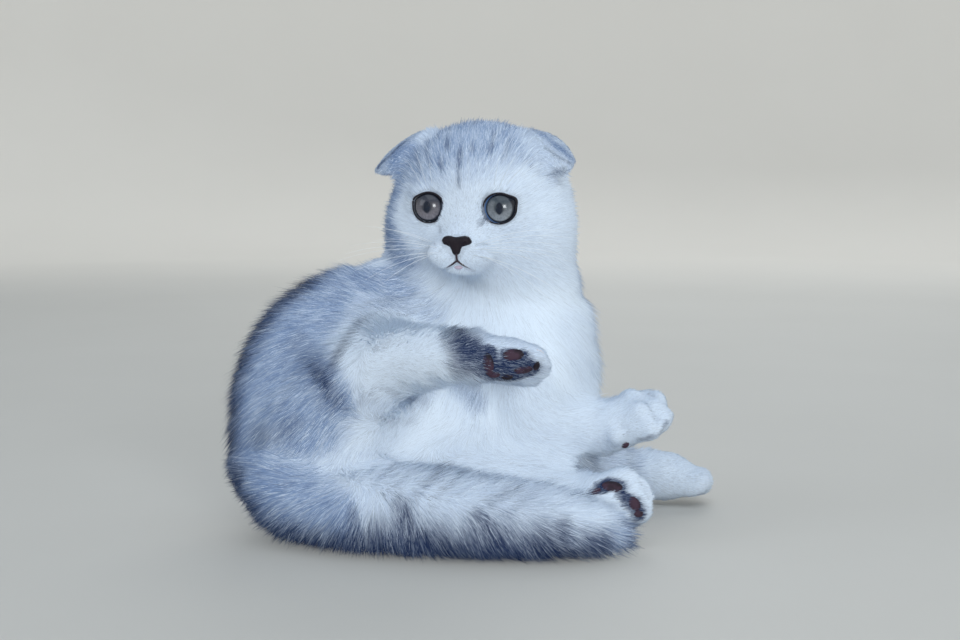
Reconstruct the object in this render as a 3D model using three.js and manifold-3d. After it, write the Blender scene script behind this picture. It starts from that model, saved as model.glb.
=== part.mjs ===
// A Scottish fold kitten, silver tabby, at life size and as it sits in one pose: leaning back on its rump with the
// spine curled, one hind leg raised in front of the chest, the other hind leg and the tail laid along the floor, both
// forelegs reaching out to one side, and the round, fold-eared head turned to face the viewer.
// Millimetres, +Z up, -Y towards the viewer, +X to the viewer's right. The solids reach out to the tips of the coat.

import * as THREE from "three";
import { mergeVertices } from "three/addons/utils/BufferGeometryUtils.js";
import Module from "manifold-3d";

const wasm = await Module();
wasm.setup();

// Driving dimensions
const GAP = 0.4; // between two parts that touch
const HEAD_WIDTH = 81;
const HEAD_CENTRE = [0.5, 8, 138.5];
const HEAD_TURN = 15; // degrees, the face turned to the viewer's left
const EYE_RADIUS = 8;
const EYE_SPACING = 29.6;
const EYE_DEPTH = -23; // centre of the eyeball, in the head's own frame
const EAR_THICKNESS = 2.4;
const BODY_CELL = 8; // length of a facet on the body
const HEAD_CELL = 7;
const MUZZLE_CELL = 3.2;
const PAW_CELL = 3.8;
const CUTTER_CELL = 9;
const TAKEN = 2; // how far outside its own bones a limb takes the skin with it

// Forms: each is a function of a point that is negative inside, and about the distance to its surface elsewhere
const ball = ([cx, cy, cz], [rx, ry, rz]) => (x, y, z) => {
  const a = (x - cx) / rx;
  const b = (y - cy) / ry;
  const c = (z - cz) / rz;
  const near = Math.sqrt(a * a + b * b + c * c);
  const steep = Math.sqrt((a / rx) ** 2 + (b / ry) ** 2 + (c / rz) ** 2);
  return steep < 1e-9 ? -Math.min(rx, ry, rz) : (near * (near - 1)) / steep;
};

// A limb is a chain of [point, radius]
const limb = (...chain) => (x, y, z) => {
  let best = Infinity;
  for (let i = 0; i + 1 < chain.length; i++) {
    const [[ax, ay, az], ra] = chain[i];
    const [[bx, by, bz], rb] = chain[i + 1];
    const ux = bx - ax;
    const uy = by - ay;
    const uz = bz - az;
    const along = ((x - ax) * ux + (y - ay) * uy + (z - az) * uz) / (ux * ux + uy * uy + uz * uz);
    const t = Math.min(1, Math.max(0, along));
    const away = Math.hypot(x - ax - t * ux, y - ay - t * uy, z - az - t * uz);
    best = Math.min(best, away - ra - t * (rb - ra));
  }
  return best;
};

const softly = (a, b, k) => {
  const h = Math.max(k - Math.abs(a - b), 0) / k;
  return Math.min(a, b) - (h * h * k) / 4;
};

const blend = (k, ...forms) => (x, y, z) => forms.map((form) => form(x, y, z)).reduce((a, b) => softly(a, b, k));

// The same form seen in a frame that is turned and placed, such as the head's
const placed = (form, matrix) => {
  const e = matrix.clone().invert().elements;
  return (x, y, z) =>
    form(
      e[0] * x + e[4] * y + e[8] * z + e[12],
      e[1] * x + e[5] * y + e[9] * z + e[13],
      e[2] * x + e[6] * y + e[10] * z + e[14],
    );
};

// Grid lines along one axis, a cell apart, or closer together between the ends of a finer stretch
function gridLines(low, high, cell, fine) {
  const lines = [];
  const inFine = (v) => fine && v > fine.low && v < fine.high;
  for (let v = low; v < high + cell; v += inFine(v) ? fine.cell : cell) lines.push(v);
  return lines;
}

// Faceted surface of a form inside a box, grown outwards by `out`: one corner for each cell that the surface crosses
function surfaceOf(form, low, high, cell, out = 0, fine = null) {
  const lines = low.map((v, n) =>
    gridLines(v, high[n], cell, fine && { low: fine.low[n], high: fine.high[n], cell: fine.cell }),
  );
  const [xs, ys, zs] = lines;
  const [nx, ny, nz] = lines.map((each) => each.length);
  const at = (i, j, k) => i + nx * (j + ny * k);
  const value = new Float64Array(nx * ny * nz);
  const edge = (i, n) => i < 2 || i > n - 2;
  for (let k = 0; k < nz; k++)
    for (let j = 0; j < ny; j++)
      for (let i = 0; i < nx; i++) {
        const d = form(xs[i], ys[j], zs[k]) - out;
        value[at(i, j, k)] = edge(i, nx) || edge(j, ny) || edge(k, nz) ? Math.max(d, cell / 2) : d;
      }
  // Where two insides meet only across the diagonal of a face, the shallower one is let go, so the skin stays single
  for (let changed = true; changed; ) {
    changed = false;
    for (let k = 1; k < nz - 1; k++)
      for (let j = 1; j < ny - 1; j++)
        for (let i = 1; i < nx - 1; i++)
          for (const [p, q] of [[1, nx], [1, nx * ny], [nx, nx * ny]]) {
            const o = at(i, j, k);
            const [a, b, c, d] = [o, o + p, o + p + q, o + q].map((n) => value[n] < 0);
            if (a !== c || b !== d || a === b) continue;
            const [m, n] = a ? [o, o + p + q] : [o + p, o + q];
            value[value[m] > value[n] ? m : n] = cell * 0.02;
            changed = true;
          }
  }
  const corner = new Map();
  const points = [];
  const step = 0.15;
  const furthest = 0.4 * (fine ? fine.cell : cell);
  const cornerOf = (i, j, k) => {
    const key = at(i, j, k);
    if (corner.has(key)) return corner.get(key);
    const sum = [0, 0, 0];
    let crossings = 0;
    for (let axis = 0; axis < 3; axis++)
      for (let side = 0; side < 4; side++) {
        const a = [0, 0, 0];
        a[(axis + 1) % 3] = side & 1;
        a[(axis + 2) % 3] = side >> 1;
        const b = [...a];
        b[axis] = 1;
        const va = value[at(i + a[0], j + a[1], k + a[2])];
        const vb = value[at(i + b[0], j + b[1], k + b[2])];
        if (va < 0 === vb < 0) continue;
        a[axis] = va / (va - vb);
        a.forEach((v, n) => (sum[n] += v));
        crossings++;
      }
    const p = [i, j, k].map((m, n) => lines[n][m] + (sum[n] / crossings) * (lines[n][m + 1] - lines[n][m]));
    // Two steps down the slope bring the corner onto the form's own surface
    for (let n = 0; n < 2; n++) {
      const d = form(...p) - out;
      const g = [0, 1, 2].map((m) => {
        const q = [...p];
        q[m] += step;
        return (form(...q) - out - d) / step;
      });
      const steep = g[0] ** 2 + g[1] ** 2 + g[2] ** 2;
      if (steep > 0.05) g.forEach((v, m) => (p[m] -= THREE.MathUtils.clamp((d * v) / steep, -furthest, furthest)));
    }
    points.push(...p);
    corner.set(key, points.length / 3 - 1);
    return points.length / 3 - 1;
  };
  const faces = [];
  const across = (a, b) => (points[3 * a] - points[3 * b]) ** 2 + (points[3 * a + 1] - points[3 * b + 1]) ** 2 +
    (points[3 * a + 2] - points[3 * b + 2]) ** 2;
  for (let k = 1; k < nz - 1; k++)
    for (let j = 1; j < ny - 1; j++)
      for (let i = 1; i < nx - 1; i++)
        for (let axis = 0; axis < 3; axis++) {
          const next = [i, j, k];
          next[axis] += 1;
          const inside = value[at(i, j, k)] < 0;
          if (inside === value[at(...next)] < 0) continue;
          const ring = [[0, 0], [1, 0], [1, 1], [0, 1]].map(([u, v]) => {
            const c = [i, j, k];
            c[(axis + 1) % 3] -= u;
            c[(axis + 2) % 3] -= v;
            return cornerOf(...c);
          });
          if (!inside) ring.reverse();
          const [a, b, c, d] = ring;
          if (across(a, c) < across(b, d)) faces.push(a, b, c, a, c, d);
          else faces.push(b, c, d, b, d, a);
        }
  const geometry = new THREE.BufferGeometry();
  geometry.setAttribute("position", new THREE.Float32BufferAttribute(points, 3));
  geometry.setIndex(faces);
  return geometry;
}

// Solids: a closed geometry as something to join and cut, and back again
function solid(geometry, matrix) {
  const bare = geometry.clone();
  ["normal", "uv"].forEach((name) => bare.deleteAttribute(name));
  if (matrix) bare.applyMatrix4(matrix);
  const merged = mergeVertices(bare, 1e-4);
  return new wasm.Manifold(
    new wasm.Mesh({
      numProp: 3,
      vertProperties: merged.attributes.position.array,
      triVerts: new Uint32Array(merged.index.array),
    }),
  );
}

function largest(made) {
  return made.decompose().sort((a, b) => b.volume() - a.volume())[0];
}

function geometryOf(made) {
  const mesh = made.getMesh();
  const geometry = new THREE.BufferGeometry();
  const position = new Float32Array(mesh.numVert * 3);
  for (let i = 0; i < mesh.numVert; i++)
    for (let n = 0; n < 3; n++) position[3 * i + n] = mesh.vertProperties[i * mesh.numProp + n];
  geometry.setAttribute("position", new THREE.BufferAttribute(position, 3));
  geometry.setIndex(new THREE.BufferAttribute(mesh.triVerts, 1));
  return geometry;
}

// Everything on the far side of a plane through `point`, as a big block whose near face is moved on by `on`
function beyond([x, y, z], [nx, ny, nz], on = 0) {
  const size = 500;
  const normal = new THREE.Vector3(nx, ny, nz).normalize();
  const turn = new THREE.Quaternion().setFromUnitVectors(new THREE.Vector3(0, 0, 1), normal);
  const centre = new THREE.Vector3(x, y, z).addScaledVector(normal, size / 2 + on);
  const place = new THREE.Matrix4().compose(centre, turn, new THREE.Vector3(1, 1, 1));
  return solid(new THREE.BoxGeometry(size, size, size), place);
}

// Trunk: the pelvis and loin curl up from the floor, the rib cage runs to the right, and the belly lies open
const trunk = blend(
  14,
  ball([-61, 8, 46], [47, 41, 48]),
  ball([-53, 12, 66], [46, 39, 45]),
  limb([[-38, 16, 72], 37], [[8, 16, 70], 34]),
  ball([16, 12, 74], [33, 33, 36]),
  ball([-12, -2, 46], [30, 26, 32]),
  limb([[14, 14, 92], 31], [[4, 14, 126], 31]),
);

const tail = limb(
  [[-81, -2, 27], 24],
  [[-73, -28, 22], 22],
  [[-49, -44, 20], 20.5],
  [[-10, -54, 18], 19],
  [[24, -58, 16], 17],
  [[45, -57, 13], 13.5],
  [[58, -55, 9], 8.5],
);

// Paws: four toes spread round the front of a broad foot, the middle two furthest forwards, in the paw's own frame
// with x forwards and z up from the sole, and on a forepaw the small inner toe behind them
function paw({ at, forward, up, width, innerToe = 0 }) {
  const x = new THREE.Vector3(...forward).normalize();
  const y = new THREE.Vector3(...up).cross(x).normalize();
  const z = new THREE.Vector3().crossVectors(x, y);
  const toe = width / 5.2;
  const toes = [-1.5, -0.5, 0.5, 1.5].map((place) => {
    const reach = Math.abs(place) < 1 ? 9 : 6;
    return ball([reach, place * toe * 1.25, -1], [toe * 1.75, toe, toe * 1.35]);
  });
  if (innerToe) toes.push(ball([-8, innerToe * width * 0.36, -4], [5.4, 3.8, 5]));
  const foot = blend(2.2, ball([-1, 0, 0.5], [12, width / 2.1, 9.5]), ...toes);
  return placed(foot, new THREE.Matrix4().makeBasis(x, y, z).setPosition(...at));
}

// Limbs: each is a chain of joints from the root to the paw. The root plane is where it leaves the trunk, and the
// wrist plane, at the wrist or the hock, is where its paw begins.
const LIMBS = {
  hindRight: {
    names: ["hind_leg_right", "hind_paw_right"],
    chain: [[[-60, -14, 46], 31], [[-39, -34, 76], 18.5], [[-11, -55, 81], 13], [[10, -55, 79], 10.5]],
    paw: { at: [13, -54, 78], forward: [1, 0.05, -0.12], up: [-0.1, 0.75, 0.65], width: 23 },
    root: [[-60, -13, 46], [0.25, -1, 0.1]],
    wrist: [[-3, -55, 80], [1, 0, -0.08]],
    soften: 9,
  },
  hindLeft: {
    names: ["hind_leg_left", "hind_paw_left"],
    chain: [[[-50, 4, 30], 31], [[-8, -12, 28], 24], [[32, -25, 16], 14.5], [[49, -29, 16.5], 12]],
    paw: { at: [54, -30, 17], forward: [0.75, 0.1, 0.35], up: [0.3, 0.9, -0.1], width: 24 },
    root: [[-34, -4, 28], [1, -0.35, -0.2]],
    wrist: [[42, -27, 15], [1, -0.15, 0.1]],
    soften: 12,
  },
  foreRight: {
    names: ["foreleg_right", "forepaw_right"],
    chain: [[[14, -4, 66], 22], [[16, -8, 47], 16], [[46, -8, 44], 12.5], [[58, -8, 46], 11.5]],
    paw: { at: [64, -9, 48], forward: [0.95, -0.3, 0.15], up: [-0.3, -0.2, 0.9], width: 25, innerToe: -1 },
    root: [[16, -12, 56], [0.2, -1, -0.5]],
    wrist: [[50, -8, 45], [1, 0, 0.1]],
    soften: 10,
  },
  foreLeft: {
    names: ["foreleg_left", "forepaw_left"],
    chain: [[[28, 20, 58], 24], [[31, 37, 26], 18], [[68, 50, 14.5], 12], [[82, 53, 12.5], 11]],
    paw: { at: [87, 54, 11.5], forward: [1, 0.06, -0.05], up: [0, 0, 1], width: 25, innerToe: 1 },
    root: [[33, 31, 44], [0.25, 0.8, -0.8]],
    wrist: [[73, 51, 14], [1, 0.3, -0.1]],
    soften: 12,
  },
};
for (const each of Object.values(LIMBS)) each.form = blend(4, limb(...each.chain), paw(each.paw));

// Head, in its own frame: x to the viewer's right, -y out of the face, z up
const headFrame = new THREE.Matrix4().makeRotationZ(THREE.MathUtils.degToRad(-HEAD_TURN)).setPosition(...HEAD_CENTRE);
const half = HEAD_WIDTH / 2;
const skull = blend(
  9,
  ball([0, 4, 4], [half - 4, 34, 29.5]),
  ball([0, -10, 6], [27, 21, 21]),
  ball([half - 19.5, -3, -11], [19.5, 24, 19]),
  ball([19.5 - half, -3, -11], [19.5, 24, 19]),
);
const muzzle = blend(
  4,
  limb([[0, -22, -9], 11], [[0, -31, -16], 7.5]),
  ball([6.2, -32.5, -20.5], [8, 7.5, 6]),
  ball([-6.2, -32.5, -20.5], [8, 7.5, 6]),
  ball([0, -30, -26.5], [7, 7, 4.5]),
);
const face = blend(6, skull, muzzle);
const headForm = placed(face, headFrame);
const headAndNeck = (x, y, z) => softly(trunk(x, y, z), headForm(x, y, z), 12);

const body = (x, y, z) => {
  if (z < -8) return 8;
  const t = trunk(x, y, z);
  const grownOut = Object.values(LIMBS).map((each) => softly(t, each.form(x, y, z), each.soften));
  return Math.min(softly(t, headForm(x, y, z), 12), softly(t, tail(x, y, z), 10), ...grownOut);
};

const LOW = [-118, -88, -20];
const HIGH = [116, 94, 186];
const everywhere = (form, out, cell) => solid(surfaceOf(form, LOW, HIGH, cell, out));
const aboveFloor = beyond([0, 0, 0], [0, 0, 1]);

const group = new THREE.Group();
const COAT = { color: 0xc6cbd4, roughness: 0.9, metalness: 0 };
const EYE = { color: 0x6f7568, roughness: 0.15, metalness: 0 };
const LEATHER = { color: 0x2a1518, roughness: 0.45, metalness: 0 };

// A node keeps only its largest closed surface, so that no scrap of a cut is left outside it or sealed inside it
function add(name, made, finish) {
  const kept = largest(solid(geometryOf(largest(made))));
  const mesh = new THREE.Mesh(geometryOf(kept), new THREE.MeshStandardMaterial(finish));
  mesh.name = name;
  group.add(mesh);
}

// Body: one skin over all of it, then divided, the tail and each leg taking the part of the skin around its own bones
let trunkLeft = everywhere(body, 0, BODY_CELL).intersect(aboveFloor);

function take(form, root) {
  let inner = everywhere(form, TAKEN, CUTTER_CELL);
  let outer = everywhere(form, TAKEN + GAP, CUTTER_CELL).add(inner);
  if (root) {
    inner = inner.intersect(beyond(...root));
    outer = outer.intersect(beyond(...root, -GAP));
  }
  const taken = trunkLeft.intersect(inner);
  trunkLeft = trunkLeft.subtract(outer);
  return taken;
}

add("tail", take(tail), COAT);
const besideTail = everywhere(tail, TAKEN + GAP, CUTTER_CELL);
const legs = Object.values(LIMBS).map((each) => ({ ...each, taken: take(each.form, each.root) }));

// Each paw is cut off its leg and made again in finer facets, so that the toes stand apart
for (const { names, form, wrist, taken } of legs) {
  const [at] = wrist;
  const low = at.map((v) => v - 46);
  const high = at.map((v) => v + 46);
  const fine = solid(surfaceOf(form, low, high, PAW_CELL)).intersect(aboveFloor);
  add(names[0], taken.subtract(beyond(...wrist, -GAP / 2)), COAT);
  add(names[1], fine.intersect(beyond(...wrist, GAP / 2)).subtract(besideTail).subtract(trunkLeft), COAT);
}

const NECK_TOP = [[0, 10, 108], [0.1, 0, 1]];
const NECK_BASE = [[5, 12, 95], [0.25, 0, 1]];
add("torso", trunkLeft.subtract(beyond(...NECK_BASE, -GAP)), COAT);
add("neck", trunkLeft.intersect(beyond(...NECK_BASE)).subtract(beyond(...NECK_TOP, -GAP)), COAT);

// What is made in the head's frame: a geometry there, or a form's surface round a point
function inHead(geometry, at = [0, 0, 0], aim = [0, 0, 1]) {
  const turn = new THREE.Quaternion().setFromUnitVectors(
    new THREE.Vector3(0, 0, 1),
    new THREE.Vector3(...aim).normalize(),
  );
  const local = new THREE.Matrix4().compose(new THREE.Vector3(...at), turn, new THREE.Vector3(1, 1, 1));
  return solid(geometry, new THREE.Matrix4().multiplyMatrices(headFrame, local));
}

function formInHead(form, at, reach, cell, out = 0) {
  const centre = new THREE.Vector3(...at).applyMatrix4(headFrame).toArray();
  const low = centre.map((v) => v - reach);
  const high = centre.map((v) => v + reach);
  return solid(surfaceOf(placed(form, headFrame), low, high, cell, out));
}

// Head: the muzzle in finer facets than the skull
const aroundHead = [HEAD_CENTRE.map((v) => v - 64), HEAD_CENTRE.map((v) => v + 60)];
const aroundMuzzle = { low: [-28, -34, 104], high: [8, -12, 134], cell: MUZZLE_CELL };
let head = solid(surfaceOf(headAndNeck, ...aroundHead, HEAD_CELL, 0, aroundMuzzle)).intersect(beyond(...NECK_TOP));

// Eyes: each sits in a socket, behind a raised rim of lids
for (const [name, side] of [["eye_right", -1], ["eye_left", 1]]) {
  const at = [(side * EYE_SPACING) / 2, EYE_DEPTH, -1.8];
  const aim = new THREE.Vector3(side * 0.2, -1, 0.02).normalize().toArray();
  const forwards = (mm) => at.map((v, n) => v + aim[n] * mm);
  const rim = EYE_RADIUS * 0.68;
  const lids = inHead(new THREE.TorusGeometry(EYE_RADIUS * 0.92, 1.8, 6, 16), forwards(rim), aim);
  const socket = inHead(new THREE.SphereGeometry(EYE_RADIUS + GAP, 16, 10), at, aim);
  const opening = new THREE.CylinderGeometry(EYE_RADIUS, EYE_RADIUS * 0.78, 12, 16).rotateX(Math.PI / 2);
  head = head.add(lids).subtract(socket).subtract(inHead(opening, forwards(rim + 6), aim));
  add(name, inHead(new THREE.SphereGeometry(EYE_RADIUS, 16, 10), at, aim), EYE);
}

// Nose leather: a rounded triangle, wide at the top, with a comma of a nostril at each side
const NOSE = [0, -38, -16];
const leather = blend(
  2.5,
  ball([3.2, -38, -14.6], [3.2, 2.6, 2.2]),
  ball([-3.2, -38, -14.6], [3.2, 2.6, 2.2]),
  ball([0, -38, -18], [2.2, 2.4, 3]),
);
let nose = formInHead(leather, NOSE, 12, 1.8);
for (const side of [-1, 1]) {
  const nostril = new THREE.CapsuleGeometry(0.65, 1.6, 3, 8).rotateX(Math.PI / 2).rotateY(side * 0.9);
  nose = nose.subtract(inHead(nostril, [side * 3.4, -40.4, -15.6]));
}
add("nose", nose, LEATHER);
head = head.subtract(formInHead(leather, NOSE, 12, 1.8, GAP));

// Mouth: a fine round groove down from the nose, and one along the lips, both laid on the face
const LIP_GROOVE = 0.9;
const LIP_LINE = [[4, -26.3], [8, -26], [11, -24.4]]; // x and z from the middle to a corner
const PHILTRUM = [[0, -19.5], [0, -22], [0, -25]];
function onFace([x, z]) {
  let y = -60;
  for (let n = 0; n < 60; n++) y += face(x, y, z) * 0.9;
  return new THREE.Vector3(x, y, z);
}
function groove(points, steps) {
  const section = new THREE.Shape().absarc(0, 0, LIP_GROOVE, 0, 2 * Math.PI);
  const path = new THREE.CatmullRomCurve3(points.map(onFace));
  return inHead(new THREE.ExtrudeGeometry(section, { curveSegments: 8, steps, extrudePath: path }));
}
const otherSide = LIP_LINE.map(([x, z]) => [-x, z]).reverse();
head = head.subtract(groove([...otherSide, [0, -24.9], ...LIP_LINE], 14)).subtract(groove(PHILTRUM, 3));

// Closed sheet of one thickness along surface(u, v), both from 0 to 1
function sheet(surface, thickness, nu, nv) {
  const outer = [];
  const inner = [];
  for (let j = 0; j <= nv; j++)
    for (let i = 0; i <= nu; i++) {
      const u = i / nu;
      const v = j / nv;
      const du = surface(Math.min(1, u + 0.01), v).sub(surface(Math.max(0, u - 0.01), v));
      const dv = surface(u, Math.min(1, v + 0.01)).sub(surface(u, Math.max(0, v - 0.01)));
      const normal = du.cross(dv).setLength(thickness / 2);
      outer.push(surface(u, v).add(normal));
      inner.push(surface(u, v).sub(normal));
    }
  const row = nu + 1;
  const under = row * (nv + 1);
  const last = nv * row;
  const faces = [];
  const quad = (a, b, c, d) => faces.push(a, b, c, a, c, d);
  for (let j = 0; j < nv; j++)
    for (let i = 0; i < nu; i++) {
      const a = i + j * row;
      quad(a, a + 1, a + 1 + row, a + row);
      quad(under + a, under + a + row, under + a + row + 1, under + a + 1);
    }
  for (let i = 0; i < nu; i++) {
    quad(i + 1, i, under + i, under + i + 1);
    quad(last + i, last + i + 1, under + last + i + 1, under + last + i);
  }
  for (let j = 0; j < nv; j++) {
    const a = j * row;
    quad(a, a + row, under + a + row, under + a);
    quad(a + nu + row, a + nu, under + a + nu, under + a + nu + row);
  }
  const points = [...outer, ...inner].flatMap((p) => p.toArray());
  const geometry = new THREE.BufferGeometry();
  geometry.setAttribute("position", new THREE.Float32BufferAttribute(points, 3));
  geometry.setIndex(faces);
  return geometry;
}

// Ears: each rises from its root over the side of the skull, leans forwards to a fold, and hangs from there as a small
// flap, with the cup of the ear under it. The lines are the right-hand ear's, from the top of the head outwards.
const line = (...points) =>
  new THREE.CatmullRomCurve3(points.map((p) => new THREE.Vector3(...p)), false, "centripetal");
const EAR_LINES = {
  root: line([18, -3, 27], [27, 5, 25], [33, 6, 18], [35.5, 1, 11]),
  back: line([20, -3, 29.5], [29, 2.5, 27], [35.5, 2.5, 22.3], [40, -1, 15.5]),
  fold: line([22, -8, 26], [29.5, -9.5, 22.5], [36, -8.5, 18.3], [41, -5, 14.8]),
  edge: line([23.4, -10.5, 22], [28.8, -13.5, 17], [32.7, -13.5, 10.5], [40.5, -5, 13.5]),
};
const EARS = [
  { name: "ear_left", side: 1, outwards: 0, drop: 0, flap: 1 },
  { name: "ear_right", side: -1, outwards: 4, drop: 3, flap: 0.75 },
];
const clearOfSkull = everywhere(headForm, GAP, HEAD_CELL);
for (const { name, side, outwards, drop, flap } of EARS) {
  const surface = (u, v) => {
    const [root, back, fold, edge] = Object.values(EAR_LINES).map((each) => each.getPoint(u));
    const p = line(root, back, fold, fold.clone().lerp(edge, flap)).getPoint(v);
    const far = u * Math.min(1, v * 2);
    return new THREE.Vector3(side * (p.x + outwards * far), p.y, p.z - drop * far);
  };
  const ear = sheet(side > 0 ? surface : (u, v) => surface(1 - u, v), EAR_THICKNESS, 8, 8);
  add(name, inHead(ear).subtract(clearOfSkull).subtract(head), COAT);
}

add("head", head, COAT);

// The origin lies on the floor under the middle of the whole
const bounds = new THREE.Box3().setFromObject(group);
const centre = bounds.getCenter(new THREE.Vector3());
group.position.set(-centre.x, -centre.y, -bounds.min.z);

export default group;
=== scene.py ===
import math

import bpy
import numpy as np
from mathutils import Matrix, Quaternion, Vector
from mathutils.bvhtree import BVHTree
from mathutils.kdtree import KDTree


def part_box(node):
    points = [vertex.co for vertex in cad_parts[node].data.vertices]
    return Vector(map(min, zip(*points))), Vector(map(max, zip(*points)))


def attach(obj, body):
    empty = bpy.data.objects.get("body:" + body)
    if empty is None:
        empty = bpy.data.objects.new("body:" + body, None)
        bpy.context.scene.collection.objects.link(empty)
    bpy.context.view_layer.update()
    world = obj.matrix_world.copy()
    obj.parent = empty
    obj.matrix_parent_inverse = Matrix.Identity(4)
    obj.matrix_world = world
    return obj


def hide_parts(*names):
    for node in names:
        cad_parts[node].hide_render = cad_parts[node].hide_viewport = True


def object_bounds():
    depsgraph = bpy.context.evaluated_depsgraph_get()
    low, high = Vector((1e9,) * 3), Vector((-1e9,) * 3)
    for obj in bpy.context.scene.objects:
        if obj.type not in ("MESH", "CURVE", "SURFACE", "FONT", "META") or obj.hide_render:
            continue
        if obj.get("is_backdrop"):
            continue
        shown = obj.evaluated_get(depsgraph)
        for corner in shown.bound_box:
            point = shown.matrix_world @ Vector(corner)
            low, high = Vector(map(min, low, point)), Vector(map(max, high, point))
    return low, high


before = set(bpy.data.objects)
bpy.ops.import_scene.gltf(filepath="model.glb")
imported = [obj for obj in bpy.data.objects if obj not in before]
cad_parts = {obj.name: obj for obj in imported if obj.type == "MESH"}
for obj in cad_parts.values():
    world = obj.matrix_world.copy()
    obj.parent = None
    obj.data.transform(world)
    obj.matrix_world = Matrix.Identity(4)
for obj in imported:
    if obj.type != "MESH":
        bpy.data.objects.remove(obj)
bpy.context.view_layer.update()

bpy.ops.object.select_all(action="DESELECT")
MM = 0.001

# The view: a long lens a little above the kitten's head, looking slightly down on it. Pixels of the picture,
# counted from its top left corner, are turned into points on the kitten by the same camera.
PICTURE = (960, 640)
EYE_POINT = Vector((1.8, -786.6, 176)) * MM
LOOKING_DOWN = math.radians(6.3)
FOCAL_PIXELS = 1900
SENSOR = 36
NEAREST_SEEN = 0.05

bpy.ops.object.camera_add(location=EYE_POINT, rotation=(math.pi / 2 - LOOKING_DOWN, 0, 0))
camera = bpy.context.object
camera.data.sensor_width = SENSOR
camera.data.lens = FOCAL_PIXELS / PICTURE[0] * SENSOR
camera.data.clip_start = NEAREST_SEEN
bpy.context.scene.camera = camera


def sight(u, v):
    """Direction in which the camera sees a pixel."""
    across = (u - PICTURE[0] / 2) / FOCAL_PIXELS
    down = (v - PICTURE[1] / 2) / FOCAL_PIXELS
    fall, level = math.sin(LOOKING_DOWN), math.cos(LOOKING_DOWN)
    return Vector((across, level - down * fall, -fall - down * level)).normalized()


# Floor: a plain, pale, round studio floor that curves up into a low wall all round, with nothing on it. Its
# finish is painted, and the wall glows a little, so that the floor has no edge in the view.
FLOOR_RINGS = (0.05, 0.5, 1.5)
CURVE_RADIUS = 0.6
CURVE_STEPS = 16
WALL_TOP = 1.5
FLOOR_SIDES = 96
FLOOR_TONES = ((0.56, 0.545, 0.51), (0.60, 0.585, 0.55))
BLACK = (0, 0, 0)
WALL_GLOW = (0.23, 0.225, 0.21)
GLOW_GROWS = (1.0, 1.75)  # metres from the kitten

profile = [(radius, 0.0) for radius in FLOOR_RINGS]
for step in range(1, CURVE_STEPS + 1):
    turn = math.pi / 2 * step / CURVE_STEPS
    rise = CURVE_RADIUS * (1 - math.cos(turn))
    profile.append((FLOOR_RINGS[-1] + CURVE_RADIUS * math.sin(turn), rise))
profile.append((FLOOR_RINGS[-1] + CURVE_RADIUS, WALL_TOP))
turns = [2 * math.pi * n / FLOOR_SIDES for n in range(FLOOR_SIDES)]
corners = [(radius * math.cos(turn), radius * math.sin(turn), z) for radius, z in profile for turn in turns]
sheets = [tuple(range(FLOOR_SIDES))]
for ring in range(len(profile) - 1):
    for n in range(FLOOR_SIDES):
        inner, beside = ring * FLOOR_SIDES + n, ring * FLOOR_SIDES + (n + 1) % FLOOR_SIDES
        sheets.append((inner, inner + FLOOR_SIDES, beside + FLOOR_SIDES, beside))
floor_mesh = bpy.data.meshes.new("floor")
floor_mesh.from_pydata(corners, [], sheets)
floor = bpy.data.objects.new("floor", floor_mesh)
bpy.context.collection.objects.link(floor)
floor_mesh.shade_smooth()


class Value:
    """One socket of a material. Operators add Math nodes, and node() adds any other."""

    def __init__(self, tree, socket=None):
        self.tree = tree
        self.socket = socket

    def node(self, kind, inputs=(), output=0, **settings):
        made = self.tree.nodes.new("ShaderNode" + kind)
        for name, setting in settings.items():
            setattr(made, name, setting)
        for key, given in dict(inputs).items():
            if isinstance(given, Value):
                self.tree.links.new(given.socket, made.inputs[key])
            else:
                made.inputs[key].default_value = given
        return Value(self.tree, made.outputs[output])

    def math(self, operation, *others):
        return self.node("Math", enumerate(others), operation=operation)

    def __add__(self, other):
        return self.math("ADD", self, other)

    def __rsub__(self, other):
        return self.math("SUBTRACT", other, self)

    def __mul__(self, other):
        return self.math("MULTIPLY", self, other)

    def __truediv__(self, other):
        return self.math("DIVIDE", self, other)

    __radd__ = __add__
    __rmul__ = __mul__

    def between(self, low, high):
        """0 below low, 1 above high, eased between them; high may be the lower of the two."""
        ends = {0: self, 1: low, 2: high} if low < high else {0: self, 1: high, 2: low}
        eased = self.node("MapRange", ends, interpolation_type="SMOOTHSTEP")
        return eased if low < high else 1 - eased

    def mix(self, first, second):
        """Colour that goes from first to second as this value goes from 0 to 1; each a Value or a colour."""
        ends = [end if isinstance(end, Value) else (*end, 1) for end in (first, second)]
        return self.node("Mix", {"Factor": self, 6: ends[0], 7: ends[1]}, output=2, data_type="RGBA")


def material(name, **constants):
    """A new material, its shader with some fixed values set by name, and a Value to add nodes with."""
    made = bpy.data.materials.new(name)
    made.use_nodes = True
    shader = made.node_tree.nodes["Principled BSDF"]
    for key, given in constants.items():
        shader.inputs[key.replace("_", " ").title().replace("Ior", "IOR")].default_value = given
    return made, shader, Value(made.node_tree)


def feed(shader, key, value):
    shader.id_data.links.new(value.socket, shader.inputs[key])


def cloudy(paint, scale, detail):
    """Noise that stays in place on a piece."""
    where = paint.node("TexCoord", output=3)
    return paint.node("TexNoise", {"Vector": where, "Scale": scale, "Detail": detail})


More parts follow.
